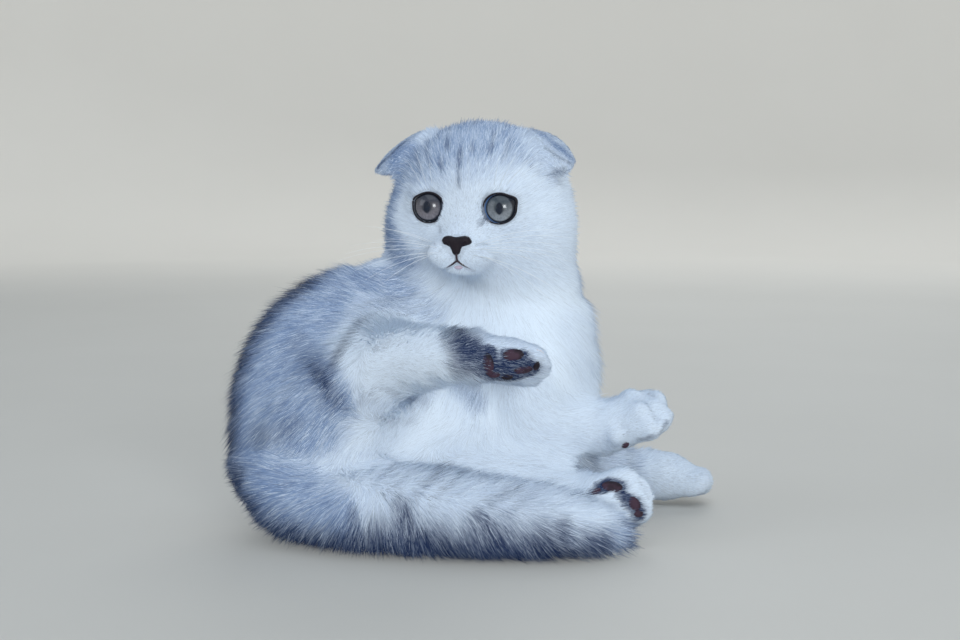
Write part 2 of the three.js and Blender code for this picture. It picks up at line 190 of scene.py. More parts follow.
floor_finish, shader, paint = material("pale floor", roughness=0.7, specular_ior_level=0.25)
feed(shader, "Base Color", cloudy(paint, 6.0, 3.0).mix(*FLOOR_TONES))
where = paint.node("TexCoord", output=3)
far_off = paint.node("VectorMath", {0: where}, output=1, operation="LENGTH")
feed(shader, "Emission Color", far_off.between(*GLOW_GROWS).mix(BLACK, WALL_GLOW))
shader.inputs["Emission Strength"].default_value = 1.0
floor_mesh.materials.append(floor_finish)
floor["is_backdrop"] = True


# Light: daylight from a large window at the viewer's right, a wide pale ceiling, a cool fill from the left
# and one lamp from behind, in a pale blue room.
def softbox(place, aim, size, power, colour):
    bpy.ops.object.light_add(type="AREA", location=place)
    lamp = bpy.context.object
    lamp.rotation_euler = (Vector(aim) - Vector(place)).to_track_quat("-Z", "Y").to_euler()
    lamp.data.shape = "RECTANGLE"
    lamp.data.size, lamp.data.size_y = size
    lamp.data.energy = power
    lamp.data.color = colour


softbox((0.42, -1.32, 0.38), (0.0, 0.0, 0.08), (0.55, 0.55), 5.8, (0.93, 0.97, 1.0))
softbox((0.41, -1.29, 0.37), (0.0, 0.0, 0.08), (0.34, 0.34), 3.2, (0.93, 0.97, 1.0))
softbox((0.1, -0.3, 1.4), (0.0, 0.0, 0.05), (1.5, 1.3), 5.2, (0.90, 0.96, 1.0))
softbox((-1.2, -0.5, 0.7), (0.0, 0.0, 0.08), (0.8, 0.8), 3.0, (0.8, 0.88, 1.0))
softbox((0.3, 1.3, 0.9), (0.0, 0.0, 0.08), (1.0, 0.9), 6, (0.95, 0.98, 1.0))
ROOM_COLOUR = (0.70, 0.84, 1.0, 1)
ROOM_STRENGTH = 0.38
world = bpy.data.worlds.new("room")
world.use_nodes = True
world.node_tree.nodes["Background"].inputs["Color"].default_value = ROOM_COLOUR
world.node_tree.nodes["Background"].inputs["Strength"].default_value = ROOM_STRENGTH
bpy.context.scene.world = world
bpy.context.scene.view_settings.view_transform = "Standard"


# Skin: one closed surface over the whole kitten, from the tip of the nose to the tip of the tail, with no
# seam. It lies inside the outline of the solids by the depth of the coat, which is deep on the trunk and tail
# and thin on the muzzle, ears and paws.
FLESH = [
    "head", "neck", "torso", "tail", "ear_right", "ear_left",
    "foreleg_right", "forepaw_right", "foreleg_left", "forepaw_left",
    "hind_leg_right", "hind_paw_right", "hind_leg_left", "hind_paw_left",
]
UNDER_SKIN = FLESH + ["nose", "eye_right", "eye_left"]
JOIN_GAP = 0.45 * MM
SKIN_CELL = 1.35 * MM
# Depth of the coat in mm, what is taken off besides, and the share by which facets are evened, for each part
COAT_DEPTH = {
    "head": 4.0, "neck": 7.0, "torso": 7.5, "tail": 7.5, "ear_right": 0.7, "ear_left": 0.7,
    "foreleg_right": 4.2, "forepaw_right": 1.2, "foreleg_left": 4.2, "forepaw_left": 1.3,
    "hind_leg_right": 5.6, "hind_paw_right": 1.6, "hind_leg_left": 6.0, "hind_paw_left": 1.5,
    "nose": 1.2, "eye_right": 1.4, "eye_left": 1.4,
}
SLIMMER = {"hind_paw_right": 1.7, "forepaw_right": 0.9}
EVENED = {
    "head": 0.55, "ear_right": 0.10, "ear_left": 0.10, "nose": 0.1, "eye_right": 0.1, "eye_left": 0.1,
    "forepaw_right": 0.06, "forepaw_left": 0.06, "hind_paw_right": 0.06, "hind_paw_left": 0.06,
}


def surface_of(nodes):
    """Points and triangles of some CAD nodes together, with doubled corners left in."""
    points, faces, start = [], [], 0
    for node in nodes:
        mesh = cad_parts[node].data
        points += [tuple(corner.co) for corner in mesh.vertices]
        faces += [tuple(start + n for n in face.vertices) for face in mesh.polygons]
        start = len(points)
    return points, faces


def new_piece(name, points, faces):
    mesh = bpy.data.meshes.new(name)
    mesh.from_pydata(points, [], faces)
    piece = bpy.data.objects.new(name, mesh)
    bpy.context.collection.objects.link(piece)
    return piece


def select_only(*pieces):
    bpy.ops.object.select_all(action="DESELECT")
    for piece in pieces:
        piece.select_set(True)
    bpy.context.view_layer.objects.active = pieces[0]


def weld(piece):
    select_only(piece)
    bpy.ops.object.mode_set(mode="EDIT")
    bpy.ops.mesh.select_all(action="SELECT")
    bpy.ops.mesh.remove_doubles(threshold=2e-6)
    bpy.ops.object.mode_set(mode="OBJECT")


def apply(piece, kind, **settings):
    """Adds a modifier with its settings and applies it."""
    select_only(piece)
    added = piece.modifiers.new(kind.title(), kind)
    for name, setting in settings.items():
        setattr(added, name, setting)
    bpy.ops.object.modifier_apply(modifier=added.name)


def array_of(items, key, width, kind=np.float64):
    """Rows of some value of a mesh's points, edges or corners."""
    flat = np.empty(len(items) * width, dtype=np.float32 if kind is np.float64 else np.int32)
    items.foreach_get(key, flat)
    return flat.astype(kind).reshape(-1, width)


def move_points(piece, points):
    piece.data.vertices.foreach_set("co", points.astype(np.float32).ravel())
    piece.data.update()


def unit(rows):
    return rows / np.maximum(np.linalg.norm(rows, axis=1, keepdims=True), 1e-12)


# The toes of the forepaws are made fuller than those of the solids by balls: the pixel of the picture where
# each ball's middle is seen, how far back it lies, and its radius, in mm
FULLER_TOES = {
    "forepaw_left": [((696, 481), 50, 6.2), ((698, 481), 56, 6.9), ((697, 481), 62, 6.4)],
    "forepaw_right": [
        ((637, 414), -12, 6.6), ((652, 409), -7, 6.0), ((655, 401), -1, 5.6),
        ((646, 399), 5, 5.6), ((630, 401), 0, 6.4), ((613, 436), -14, 5.4),
    ],
}


def ball(pixel, back, radius):
    """Points and faces of a round ball."""
    way = sight(*pixel)
    middle = EYE_POINT + way * ((back * MM - EYE_POINT.y) / way.y)
    bpy.ops.mesh.primitive_ico_sphere_add(subdivisions=3, radius=radius * MM, location=middle)
    made = bpy.context.object
    points = [tuple(made.matrix_world @ corner.co) for corner in made.data.vertices]
    faces = [tuple(face.vertices) for face in made.data.polygons]
    bpy.data.objects.remove(made)
    return points, faces


bpy.context.view_layer.update()
points, faces = surface_of(UNDER_SKIN)
for toes in FULLER_TOES.values():
    for toe in toes:
        more, sides = ball(*toe)
        faces += [tuple(len(points) + n for n in face) for face in sides]
        points += more
skin = new_piece("skin", points, faces)
weld(skin)
swollen = array_of(skin.data.vertices, "co", 3) + JOIN_GAP * array_of(skin.data.vertices, "normal", 3)
move_points(skin, swollen)
apply(skin, "REMESH", mode="VOXEL", voxel_size=SKIN_CELL)

place = array_of(skin.data.vertices, "co", 3)
edges = array_of(skin.data.edges, "vertices", 2, np.int64)
neighbours = np.bincount(edges.ravel(), minlength=len(place))


def evened(values, share, rounds):
    """Values on the skin's points, each drawn towards its neighbours' mean by a share, for some rounds."""
    values = np.array(values, dtype=np.float64)
    flat = values.reshape(len(values), -1)
    share = np.broadcast_to(share, len(values))
    for _ in range(rounds):
        for column in flat.T:
            total = np.bincount(edges[:, 0], column[edges[:, 1]], len(column))
            total += np.bincount(edges[:, 1], column[edges[:, 0]], len(column))
            column += share * (total / neighbours - column)
    return values


def skin_outward(rounds):
    """Outward direction at each point of the skin, evened out for some rounds."""
    return unit(evened(array_of(skin.data.vertices, "normal", 3), 0.5, rounds))


# Each point of the skin belongs to the nearest part
PART_REACH = 6 * MM
nearest = np.full(len(place), np.inf)
part = np.zeros(len(place), dtype=np.int64)
for number, node in enumerate(UNDER_SKIN):
    tree = BVHTree.FromPolygons(*surface_of([node]))
    away = [tree.find_nearest(Vector(point), PART_REACH)[3] for point in place]
    away = np.array([PART_REACH if gap is None else gap for gap in away])
    part[away < nearest] = number
    nearest = np.minimum(nearest, away)


def by_part(table, otherwise=0.0):
    return np.array([table.get(node, otherwise) for node in UNDER_SKIN])[part]


def is_on(*nodes):
    return np.isin(part, [UNDER_SKIN.index(node) for node in nodes])


EYE_SETTING = (-23, -1.8)  # mm of the eyes' middle before and above the head's own
UP = Vector((0, 0, 1))
eye_middle = {side: sum(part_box("eye_" + side), Vector()) / 2 for side in ("right", "left")}
eye_radius = (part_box("eye_right")[1].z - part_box("eye_right")[0].z) / 2
EYE_LEVEL = (eye_middle["right"] + eye_middle["left"]) / 2
ACROSS = (eye_middle["left"] - eye_middle["right"]).normalized()
BACKWARDS = UP.cross(ACROSS)


def head_at(x, y, z):
    """Point in the head's own frame, in mm: x to the viewer's right, -y out of the face, z up."""
    return EYE_LEVEL + (ACROSS * x + BACKWARDS * (y - EYE_SETTING[0]) + UP * (z - EYE_SETTING[1])) * MM


def in_head(points):
    """Points of the skin in the head's own frame, in mm."""
    away = (points - np.array(EYE_LEVEL)) / MM
    x, y = away @ np.array(ACROSS), away @ np.array(BACKWARDS) + EYE_SETTING[0]
    return np.column_stack([x, y, away[:, 2] + EYE_SETTING[1]])


def steady(value, low, high):
    """0 below low, 1 above high, eased between them."""
    share = np.clip((value - low) / (high - low), 0, 1)
    return share * share * (3 - 2 * share)


# The opening between the lids, in each eye's own frame: its middle as a pixel of the picture, its half width
# and half height in mm, and the angles of its two corners
LIDS = {
    "right": {"middle": (427.0, 207.8), "reach": (6.0, 5.75), "outer": 152, "inner": -40},
    "left": {"middle": (498.4, 209.0), "reach": (6.4, 5.75), "outer": 30, "inner": 214},
}
CORNER_LENGTH = {"outer": 0.9, "inner": 1.0}
CORNER_SPREAD = 17  # degrees
LID_OVER_EYE = 0.5 * MM
SKIN_BEHIND_EYE = 1.6 * MM
OPENING_SLACK = 0.25  # mm past the opening's edge that the skin stays drawn in behind the eye


def meets_ball(pixel, middle, radius):
    """Where the sight through a pixel first meets a ball."""
    way = sight(*pixel)
    offset = EYE_POINT - middle
    half = way.dot(offset)
    root = math.sqrt(max(half * half - offset.length_squared + radius * radius, 0.0))
    return EYE_POINT + way * (-half - root)


def lid_frame(side):
    """Axis of the opening, its level direction and its upward direction."""
    axis = (meets_ball(LIDS[side]["middle"], eye_middle[side], eye_radius) - eye_middle[side]).normalized()
    level = axis.cross(UP).normalized() * -1
    return np.array([axis, level, level.cross(axis) * -1])


def opening(side, angle):
    """Distance in mm from the middle of the opening to its edge, at an angle in degrees."""
    wide, high = LIDS[side]["reach"]
    turn = np.radians(angle)
    edge = 1 / np.sqrt((np.cos(turn) / wide) ** 2 + (np.sin(turn) / high) ** 2)
    for corner, length in CORNER_LENGTH.items():
        off = (angle - LIDS[side][corner] + 180) % 360 - 180
        edge = edge + length * np.exp(-((off / CORNER_SPREAD) ** 2))
    return edge


def round_eye(side, points):
    """Ways from an eye's middle to points, how far and how far ahead they are, and their mm past its lids."""
    away = points - np.array(eye_middle[side])
    far = np.linalg.norm(away, axis=1)
    ways = away / far[:, None]
    ahead, level, upward = (ways @ axis for axis in lid_frame(side))
    past = np.hypot(level, upward) * eye_radius / MM - opening(side, np.degrees(np.arctan2(upward, level)))
    return ways, far, ahead, past


# The facets of the solids are evened out, less so near the nose, and the skin is drawn in by the depth of the
# coat, which on the head grows with the distance from the nose
NOSE_AT = [0, -36, -16]
FACE_FIRM = (16, 40)  # mm from the nose over which the face goes from firm to soft
MUZZLE_COAT = 0.9
COAT_GROWS = 3.4
COAT_GROWS_OVER = (9, 46)  # mm from the nose
FACETS_EVENED = (0.62, 34)  # share and rounds
SKIN_EVENED = (0.4, 6)
on_head = is_on("head", "nose", "eye_right", "eye_left")
from_nose = np.linalg.norm(in_head(place) - NOSE_AT, axis=1)
softness = by_part(EVENED, 0.95) * np.where(on_head, 0.15 + 0.85 * steady(from_nose, *FACE_FIRM), 1)
place = evened(place, FACETS_EVENED[0] * evened(softness, 0.5, 6), FACETS_EVENED[1])
from_nose = np.linalg.norm(in_head(place) - NOSE_AT, axis=1)
depth = by_part(COAT_DEPTH)
on_face = np.minimum(depth, MUZZLE_COAT + COAT_GROWS * steady(from_nose, *COAT_GROWS_OVER))
depth = evened(np.where(on_head, on_face, depth), 0.6, 12)
slimmer = evened(by_part(SLIMMER), 0.6, 12)
move_points(skin, place)
outward = skin_outward(10)
place = place - outward * (depth + slimmer)[:, None] * MM
place = evened(place, SKIN_EVENED[0] * evened(by_part(EVENED, 0.9), 0.5, 6), SKIN_EVENED[1])

SEARCHED = (0.66, 0.90, 0.005)  # distances from the camera, in metres


def seen(u, v):
    """Point of the skin that the camera sees at a pixel, or past its edge the nearest point of the skin."""
    way = sight(u, v)
    found = skin_tree.ray_cast(EYE_POINT, way)[0]
    if found is None:
        tries = [skin_tree.find_nearest(EYE_POINT + way * far) for far in np.arange(*SEARCHED)]
        found = min(tries, key=lambda hit: hit[3])[0]
    return found


def drawn(path, width, strength=1.0, core=0.3):
    """A soft stroke along a path: width is its half width in mm, core the share of it that is solid."""
    near = np.full(len(place), np.inf)
    points = [np.array(point) for point in path]
    for start, end in zip(points[:-1], points[1:]):
        along = end - start
        share = np.clip((place - start) @ along / max(along @ along, 1e-12), 0, 1)
        near = np.minimum(near, np.linalg.norm(place - start - share[:, None] * along, axis=1))
    return strength * (1 - steady(near / MM, core * width, width))


def pixels(*path):
    return [seen(*pixel) for pixel in path]


# Slits between the toes, pressed into the skin along pixels of the picture
TOE_SLITS = [
    [(641, 402), (648, 407), (653, 413), (655, 421), (653, 428)],
    [(650, 394), (656, 399)],
    [(617, 425), (623, 430), (625, 438)],
    [(640, 483), (644, 492), (648, 500)],
    [(530, 345), (534, 352), (537, 360)],
]
SLIT_DEPTH = 1.1
SLIT_WIDTH = 1.9
move_points(skin, place)
skin_tree = BVHTree.FromObject(skin, bpy.context.evaluated_depsgraph_get())
outward = skin_outward(4)
for slit in TOE_SLITS:
    pressed = drawn(pixels(*slit), SLIT_WIDTH, SLIT_DEPTH, 0.1)
    place = place - outward * pressed[:, None] * MM

# Over the eyes the skin lies on the balls, and in the openings it is drawn in behind them
for side, middle in eye_middle.items():
    ways, far, ahead, past = round_eye(side, place)
    inside = (ahead > 0) & (past < OPENING_SLACK)
    held = np.where(inside, eye_radius - SKIN_BEHIND_EYE, np.maximum(far, eye_radius + LID_OVER_EYE))
    near = (far < eye_radius * 1.5) & (ahead > -0.4)
    place = np.where(near[:, None], np.array(middle) + ways * held[:, None], place)

move_points(skin, place)
skin.data.shade_smooth()
outward = skin_outward(3)
skin_tree = BVHTree.FromObject(skin, bpy.context.evaluated_depsgraph_get())


# Markings, on skin and coat alike, and painted shade. Silver tabby: white below, silver grey above, with
# charcoal lines. Where the picture shows them, they are strokes along pixels of it. On the far side they
# follow the spine, as in the breed. Some strokes in the same grey and charcoal are painted shade: on the
# chest under the chin, in the crease of the raised thigh, under the raised hind foot, down one side of the
# face, under an ear's fold and between the toes.
WAVE_COUNT = 14


def waves(points, size, seed):
    """Smooth random field from -1 to 1 over space, with waves of about the size in mm."""
    draw = np.random.default_rng(seed)
    total = np.zeros(len(points))
    for _ in range(WAVE_COUNT):
        way = draw.normal(size=3)
        way *= draw.uniform(0.6, 1.5) * 2 * np.pi / (size * MM) / np.linalg.norm(way)
        total += np.sin(points @ way + draw.uniform(0, 2 * np.pi))
    return total / np.sqrt(WAVE_COUNT / 2) / 2


SPINE = [(0, 43, 118), (-28, 38, 105), (-68, 33, 100), (-96, 13, 75), (-101, 8, 45), (-96, 1, 22)]


def in_mm(path):
    return [Vector(point) * MM for point in path]


# Grey: a breath of silver on all but the breast and belly, the saddle over back and flanks, the crown and
# brow, and the backs of the ears; on the raised hind paw and leg it is partly painted shade
SILVER_AND_SHADE = {
    "head": 0.16, "ear_right": 0.38, "ear_left": 0.38, "nose": 0.15, "eye_right": 0.16, "eye_left": 0.16,
    "foreleg_right": 0.15, "forepaw_right": 0.16, "foreleg_left": 0.22, "forepaw_left": 0.18, "tail": 0.28,
    # on the raised hind leg and paw this grey is partly painted shade
    "hind_leg_left": 0.16, "hind_paw_left": 0.14, "hind_leg_right": 0.10, "hind_paw_right": 0.30,
}
# Each stroke is a path of pixels of the picture, its half width in mm, and its strength
GREY_STROKES = [
    ([(300, 285), (262, 330), (246, 400), (250, 470), (275, 520)], 33, 0.98),
    ([(316, 312), (296, 350), (288, 392), (300, 430)], 28, 0.82),
    ([(310, 305), (352, 288), (392, 292)], 15, 0.78),
    # painted shade on the chest under the chin
    ([(405, 284), (428, 320)], 5, 0.4),
    # painted shade in the crease between the raised thigh and the flank
    ([(312, 366), (328, 386), (338, 402)], 12, 1.0),
    ([(340, 330), (395, 312), (428, 322)], 10, 0.48),
    ([(354, 400), (395, 398), (418, 392)], 9, 0.28),
    ([(570, 340), (576, 380)], 18, 0.16),
    # painted shadow under the raised hind foot
    ([(456, 388), (466, 399), (474, 412)], 7, 0.6),
    ([(296, 410), (330, 436)], 9, 0.5),
    ([(262, 470), (300, 496), (345, 518)], 14, 0.85),
    ([(243, 472), (252, 505), (278, 532), (330, 546)], 12, 1.0),
    ([(300, 535), (400, 553), (520, 558)], 11, 0.98),
    ([(520, 558), (632, 545)], 10, 0.62),
    ([(575, 538), (632, 532)], 8, 0.5),
    ([(610, 452), (575, 470)], 6, 0.22),
    # the grey brow band, with painted shade down the side of the face turned from the light
    ([(403, 158), (395, 190), (392, 225), (400, 250)], 15, 0.9),
    ([(540, 133), (556, 146), (571, 158)], 3.4, 0.85),
    ([(408, 140), (392, 154), (379, 167)], 2.6, 1.0),
    ([(538, 152), (550, 170)], 2.0, 0.45),
]
SADDLE_WIDTH = 60
behind = steady(place[:, 1] / MM, 4, 26)
grey = evened(by_part(SILVER_AND_SHADE), 0.5, 12)
grey = np.maximum(grey, 0.95 * behind * drawn(in_mm(SPINE), SADDLE_WIDTH, 1.0, 0.25))
for path, width, strength in GREY_STROKES:
    grey = np.maximum(grey, drawn(pixels(*path), width, strength))

# Charcoal: the edge of the back, lines and bars within the grey, the heel and the soles; and painted shade in
# the crease of the raised thigh, down one side of the face, under an ear's fold, in its opening and between
# the toes
EDGE_OF_BACK = [
    (290, 292), (264, 322), (247, 352), (238, 384), (232, 415), (231, 445), (238, 480), (248, 505),
]
CHARCOAL_STROKES = [
    (EDGE_OF_BACK, 21, 0.92),
    ([(262, 442), (280, 436), (298, 428)], 6, 0.45),
    # painted shade in the crease between the raised thigh and the flank
    ([(300, 350), (312, 366), (324, 380)], 7, 0.45),
    ([(318, 376), (329, 390), (338, 402)], 5, 0.9),
    # a tabby line with painted shade where the raised thigh's upper edge meets the flank
    ([(336, 374), (344, 358), (352, 345), (362, 335)], 4.5, 0.62),
    ([(358, 337), (368, 330), (380, 326), (398, 324)], 1.9, 0.6),
    ([(342, 334), (352, 319), (372, 310), (396, 308), (412, 300)], 1.6, 0.42),
    ([(374, 350), (398, 343)], 2.4, 0.25),
    ([(374, 319), (392, 316), (408, 318)], 1.3, 0.4),
    ([(370, 327), (386, 325), (402, 326)], 1.2, 0.36),
    ([(360, 394), (378, 389)], 3, 0.28),
    ([(398, 383), (408, 393), (415, 407)], 3.2, 0.34),
    ([(372, 416), (398, 420)], 2.6, 0.25),
    ([(280, 418), (296, 396)], 2.4, 0.25),
    ([(240, 478), (247, 505), (264, 532), (300, 548), (350, 558)], 15, 0.95),
    ([(256, 484), (264, 506), (288, 528)], 14, 0.4),
    ([(350, 558), (400, 562), (480, 565), (540, 567)], 18, 0.97),
    ([(540, 567), (575, 566), (602, 562)], 9, 0.9),
    ([(322, 546), (326, 524)], 4.5, 0.7),
    ([(356, 552), (358, 516)], 4.5, 0.76),
    ([(388, 558), (386, 536)], 4, 0.66),
    ([(418, 558), (413, 528), (407, 510)], 6, 0.9),
    ([(452, 560), (436, 530)], 5, 0.75),
    ([(506, 560), (493, 540), (484, 524)], 7, 1.0),
    ([(528, 562), (504, 548)], 4.4, 0.8),
    ([(580, 560), (573, 546), (567, 528)], 5.6, 0.8),
    ([(636, 518), (637, 532), (634, 546)], 3.2, 0.6),
    ([(383, 493), (398, 482), (412, 474)], 2.0, 0.42),
    ([(433, 494), (444, 487), (457, 481)], 3.0, 0.6),
    ([(417, 514), (426, 502), (434, 494)], 2.4, 0.4),
    ([(498, 512), (511, 504), (526, 500)], 3.0, 0.55),
    ([(570, 512), (582, 502)], 1.8, 0.4),
    ([(580, 499), (590, 496), (599, 489)], 1.9, 0.95),
    ([(528, 354), (530, 345)], 1.4, 0.9),
    ([(594, 452), (606, 452), (620, 449)], 1.8, 0.75),
    ([(640, 439), (650, 436), (660, 430), (667, 422)], 1.5, 0.5),
    ([(467, 128), (462, 156), (459, 185)], 1.8, 0.5),
    ([(452, 130), (451, 150)], 1.9, 0.55),
    ([(441, 140), (444, 168)], 1.8, 0.5),
    ([(430, 144), (434, 166)], 1.6, 0.34),
    ([(420, 152), (424, 172)], 1.6, 0.30),
    ([(477, 130), (474, 152)], 1.9, 0.5),
    ([(494, 138), (490, 156)], 1.8, 0.4),
    ([(508, 144), (503, 160)], 1.6, 0.28),
    ([(442, 131), (455, 127), (478, 127)], 3.2, 0.5),
    ([(494, 127), (512, 130)], 2.8, 0.5),
    ([(406, 141), (392, 154), (378, 168)], 1.5, 0.6),
    ([(545, 148), (559, 158), (571, 164)], 1.1, 0.45),
    # painted shadow under the folded flap of an ear, and painted shade in the ear's opening beneath it
    ([(532, 158), (543, 170), (551, 182)], 1.2, 0.5),
    ([(554, 172), (564, 170)], 1.8, 0.5),
    ([(438, 219), (440, 226), (441, 231)], 1.6, 0.3),
    ([(486, 211), (483, 217), (481, 223)], 2.4, 0.5),
    # painted shade at the edge of the side of the face turned from the light
    ([(393, 186), (391, 215), (397, 248)], 7, 0.2),
    ([(423, 242), (436, 245)], 0.8, 0.3),
    ([(475, 246), (487, 245)], 0.8, 0.3),
    ([(428, 250), (440, 251)], 0.8, 0.22),
    ([(472, 252), (484, 253)], 0.8, 0.22),
]
# Round the pads: path, half width in mm, and the share of it that is solid
SOLES = [
    ([(462, 344), (469, 350), (468, 360)], 7.6, 0.5),
    ([(490, 357), (490, 368)], 4.8, 0.8),
    ([(494, 373), (514, 374), (532, 369)], 4.0, 0.8),
    ([(508, 356), (516, 357), (524, 358)], 3.4, 0.7),
    ([(500, 365), (530, 363)], 2.6, 0.7),
    ([(602, 488), (611, 484), (620, 487), (623, 495)], 3.6, 0.7),
    ([(627, 500), (634, 503), (639, 512)], 3.8, 0.7),
]
SLIT_SHADE = (0.9, 0.45)
dark = np.zeros(len(place))
for path, width, strength in CHARCOAL_STROKES:
    dark = np.maximum(dark, drawn(pixels(*path), width, strength))
for path, width, core in SOLES:
    dark = np.maximum(dark, drawn(pixels(*path), width, 1.0, core))
# painted shade in the slits between the toes
for slit in TOE_SLITS:
    dark = np.maximum(dark, drawn(pixels(*slit), *SLIT_SHADE))

# On the far side: a dark line down the spine and bars that leave it, bars on the legs and on the nape
SPINE_WIDTH = 13
BAR_SPACING = 21
LEG_BARS = {"foreleg_left": 17, "foreleg_right": 15, "hind_leg_left": 19, "hind_leg_right": 17}
NAPE_BARS = 13
spine_line = np.array(in_mm(SPINE))
steps = np.linalg.norm(np.diff(spine_line, axis=0), axis=1)
along_spine = np.zeros(len(place))
near = np.full(len(place), np.inf)
for number, (start, end) in enumerate(zip(spine_line[:-1], spine_line[1:])):
    span = end - start
    share = np.clip((place - start) @ span / (span @ span), 0, 1)
    gap = np.linalg.norm(place - start - share[:, None] * span, axis=1)
    along_spine = np.where(gap < near, (steps[:number].sum() + share * steps[number]) / MM, along_spine)
    near = np.minimum(near, gap)
wander = waves(place, 38, 3)


def barred(across, wandering):
    """1 in the middle of each bar and 0 midway between two; bars lie at whole numbers of across."""
    return 0.5 + 0.5 * np.cos(2 * np.pi * (across + wandering * wander))


bars = barred(along_spine / BAR_SPACING, 0.32)
on_trunk = is_on("torso", "neck").astype(float)
ends = 1 - steady(near / MM, 30, 62)
dark = np.maximum(dark, 0.55 * on_trunk * behind * steady(bars, 0.62, 0.95) * ends)
dark = np.maximum(dark, 0.8 * drawn(in_mm(SPINE), SPINE_WIDTH, 1.0, 0.4))
grey = np.maximum(grey, 0.9 * on_trunk * behind * (1 - steady(near / MM, 55, 85)))
for limb, spacing in LEG_BARS.items():
    bars = barred(place[:, 0] / MM / spacing, 0.2)
    shown = is_on(limb) * behind
    dark = np.maximum(dark, 0.42 * shown * steady(bars, 0.6, 0.95))
    grey = np.maximum(grey, 0.4 * shown)
nape = on_head * steady(in_head(place)[:, 1], 2, 24)
crown = on_head * steady(in_head(place)[:, 2] - 0.25 * in_head(place)[:, 0], -2, 22)
grey = np.maximum(grey, np.maximum(0.85 * nape, 0.68 * crown))
bars = barred(in_head(place)[:, 0] / NAPE_BARS, 0.25)
dark = np.maximum(dark, 0.4 * nape * steady(bars, 0.6, 0.95))
LINED = (-0.1, 0.4)  # mm past the lids over which the dark skin round each eye fades
for side in eye_middle:
    ways, far, ahead, past = round_eye(side, place)
    lined = (ahead > 0) & (far < eye_radius * 1.4)
    dark = np.maximum(dark, lined * (1 - steady(past, *LINED)))
mottle = waves(place, 9, 5)
grey = np.clip(evened(grey, 0.5, 3) * (1 + 0.18 * mottle), 0, 1)
dark = np.clip(dark * (1 + 0.2 * mottle), 0, 1)

# Tones of the coat, also used for the painted shade of some strokes
WHITE_HAIR = (0.765, 0.86, 0.975)
GREY_HAIR_AND_SHADE = (0.175, 0.268, 0.465)
CHARCOAL_HAIR_AND_SHADE = (0.012, 0.026, 0.082)


def store(piece, name, values):
    layer = piece.data.attributes.new(name, "FLOAT", "POINT")
    layer.data.foreach_set("value", np.asarray(values, dtype=np.float32).ravel())


def stored(paint, name):
    return paint.node("Attribute", output=2, attribute_name=name)


def tabby_and_shade(paint):
    """Colour of the markings and of painted shade, from the grey and the dark stored on a piece."""
    silver = stored(paint, "grey").mix(WHITE_HAIR, GREY_HAIR_AND_SHADE)
    return stored(paint, "dark").mix(silver, CHARCOAL_HAIR_AND_SHADE)


store(skin, "grey", grey)
store(skin, "dark", dark)
under_coat, shader, paint = material("skin under the coat", roughness=0.85, specular_ior_level=0.2)
short_hair_and_shade = cloudy(paint, 900.0, 3.0)
# The skin is painted at 0.6 to 1.0 of the markings' tone, in patches of short hair: painted shade of the fur
# over it
feed(shader, "Base Color", (short_hair_and_shade * 0.4 + 0.6).mix(BLACK, tabby_and_shade(paint)))
feed(shader, "Normal", paint.node("Bump", {"Height": short_hair_and_shade, "Strength": 0.5, "Distance": 0.0006}))
skin.data.materials.append(under_coat)
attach(skin, "root")
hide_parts(*FLESH)

select_only(skin)
bpy.ops.object.mode_set(mode="EDIT")
bpy.ops.mesh.select_all(action="SELECT")
bpy.ops.uv.smart_project(angle_limit=math.radians(66), island_margin=0.001)
bpy.ops.object.mode_set(mode="OBJECT")
skin.data.uv_layers[0].name = "OFBake"

# Lie of the coat: combed strokes along the body, from the nose over the crown and back, down the chest and
# the legs, and along the tail. Each point of the skin takes the direction of the strokes near it, level with
# the skin. Strokes of the head and ears are in the head's own frame, in mm.
HEAD_STROKES = [
    [(0, -37, -11), (0, -30, 2), (0, -24, 16), (0, -8, 31),
     (0, 14, 33), (0, 34, 14), (0, 37, -12), (0, 34, -30)],
    [(7, -33, -6), (16, -26, 13), (22, -12, 25), (27, 6, 27), (25, 24, 14), (22, 32, -8), (20, 32, -28)],
    [(8, -33, -13), (20, -28, -10), (32, -14, -5), (39, 0, -4), (36, 16, -8), (30, 24, -20)],
    [(5, -36, -20), (16, -29, -23), (27, -16, -27), (31, -2, -33), (28, 6, -42)],
    [(0, -34, -24), (0, -28, -33), (0, -22, -44), (0, -18, -56)],
    [(10, -30, -27), (12, -22, -38), (13, -18, -52)],
    [(21, -24, 3), (33, -12, 9), (39, 2, 8)],
]
EAR_STROKES = {"ear_right": [(-18, -8, 34), (-34, -12, 14)], "ear_left": [(18, -8, 34), (34, -12, 14)]}
BODY_STROKES = {
    "trunk": [
        [(2, 42, 112), (-26, 38, 108), (-66, 34, 103), (-96, 16, 78), (-102, 10, 46), (-97, 2, 20)],
        [(-6, 6, 112), (-34, -2, 105), (-68, -12, 92), (-92, -16, 66), (-98, -16, 40), (-92, -20, 20)],
        [(-30, -20, 92), (-58, -32, 72), (-74, -36, 48), (-78, -36, 30)],
        [(0, -18, 108), (4, -24, 90), (4, -24, 66), (-6, -26, 48)],
        [(28, -8, 108), (44, 0, 88), (50, 6, 68), (44, 14, 46)],
        [(-4, -24, 50), (-24, -26, 40), (-44, -28, 32)],
        [(24, 44, 108), (14, 52, 84), (-8, 52, 56), (-30, 50, 24)],
        [(40, 24, 108), (44, 34, 84), (34, 44, 56)],
        [(-30, 48, 84), (-54, 50, 58), (-62, 46, 24)],
    ],
    "tail": [
        [(-79, 1, 27), (-71, -25, 22), (-47, -41, 20), (-8, -51, 18),
         (26, -55, 16), (47, -54, 13), (62, -50, 8)],
    ],
    "hind_right": [[(-58, -11, 46), (-37, -31, 76), (-9, -52, 81), (28, -52, 78)]],
    "hind_left": [[(-48, 7, 30), (-6, -9, 28), (34, -22, 16), (70, -24, 22)]],
    "fore_right": [[(16, -1, 66), (18, -5, 47), (48, -5, 44), (82, -8, 51)]],
    "fore_left": [[(30, 23, 58), (33, 40, 26), (70, 53, 14.5), (106, 58, 10)]],
}
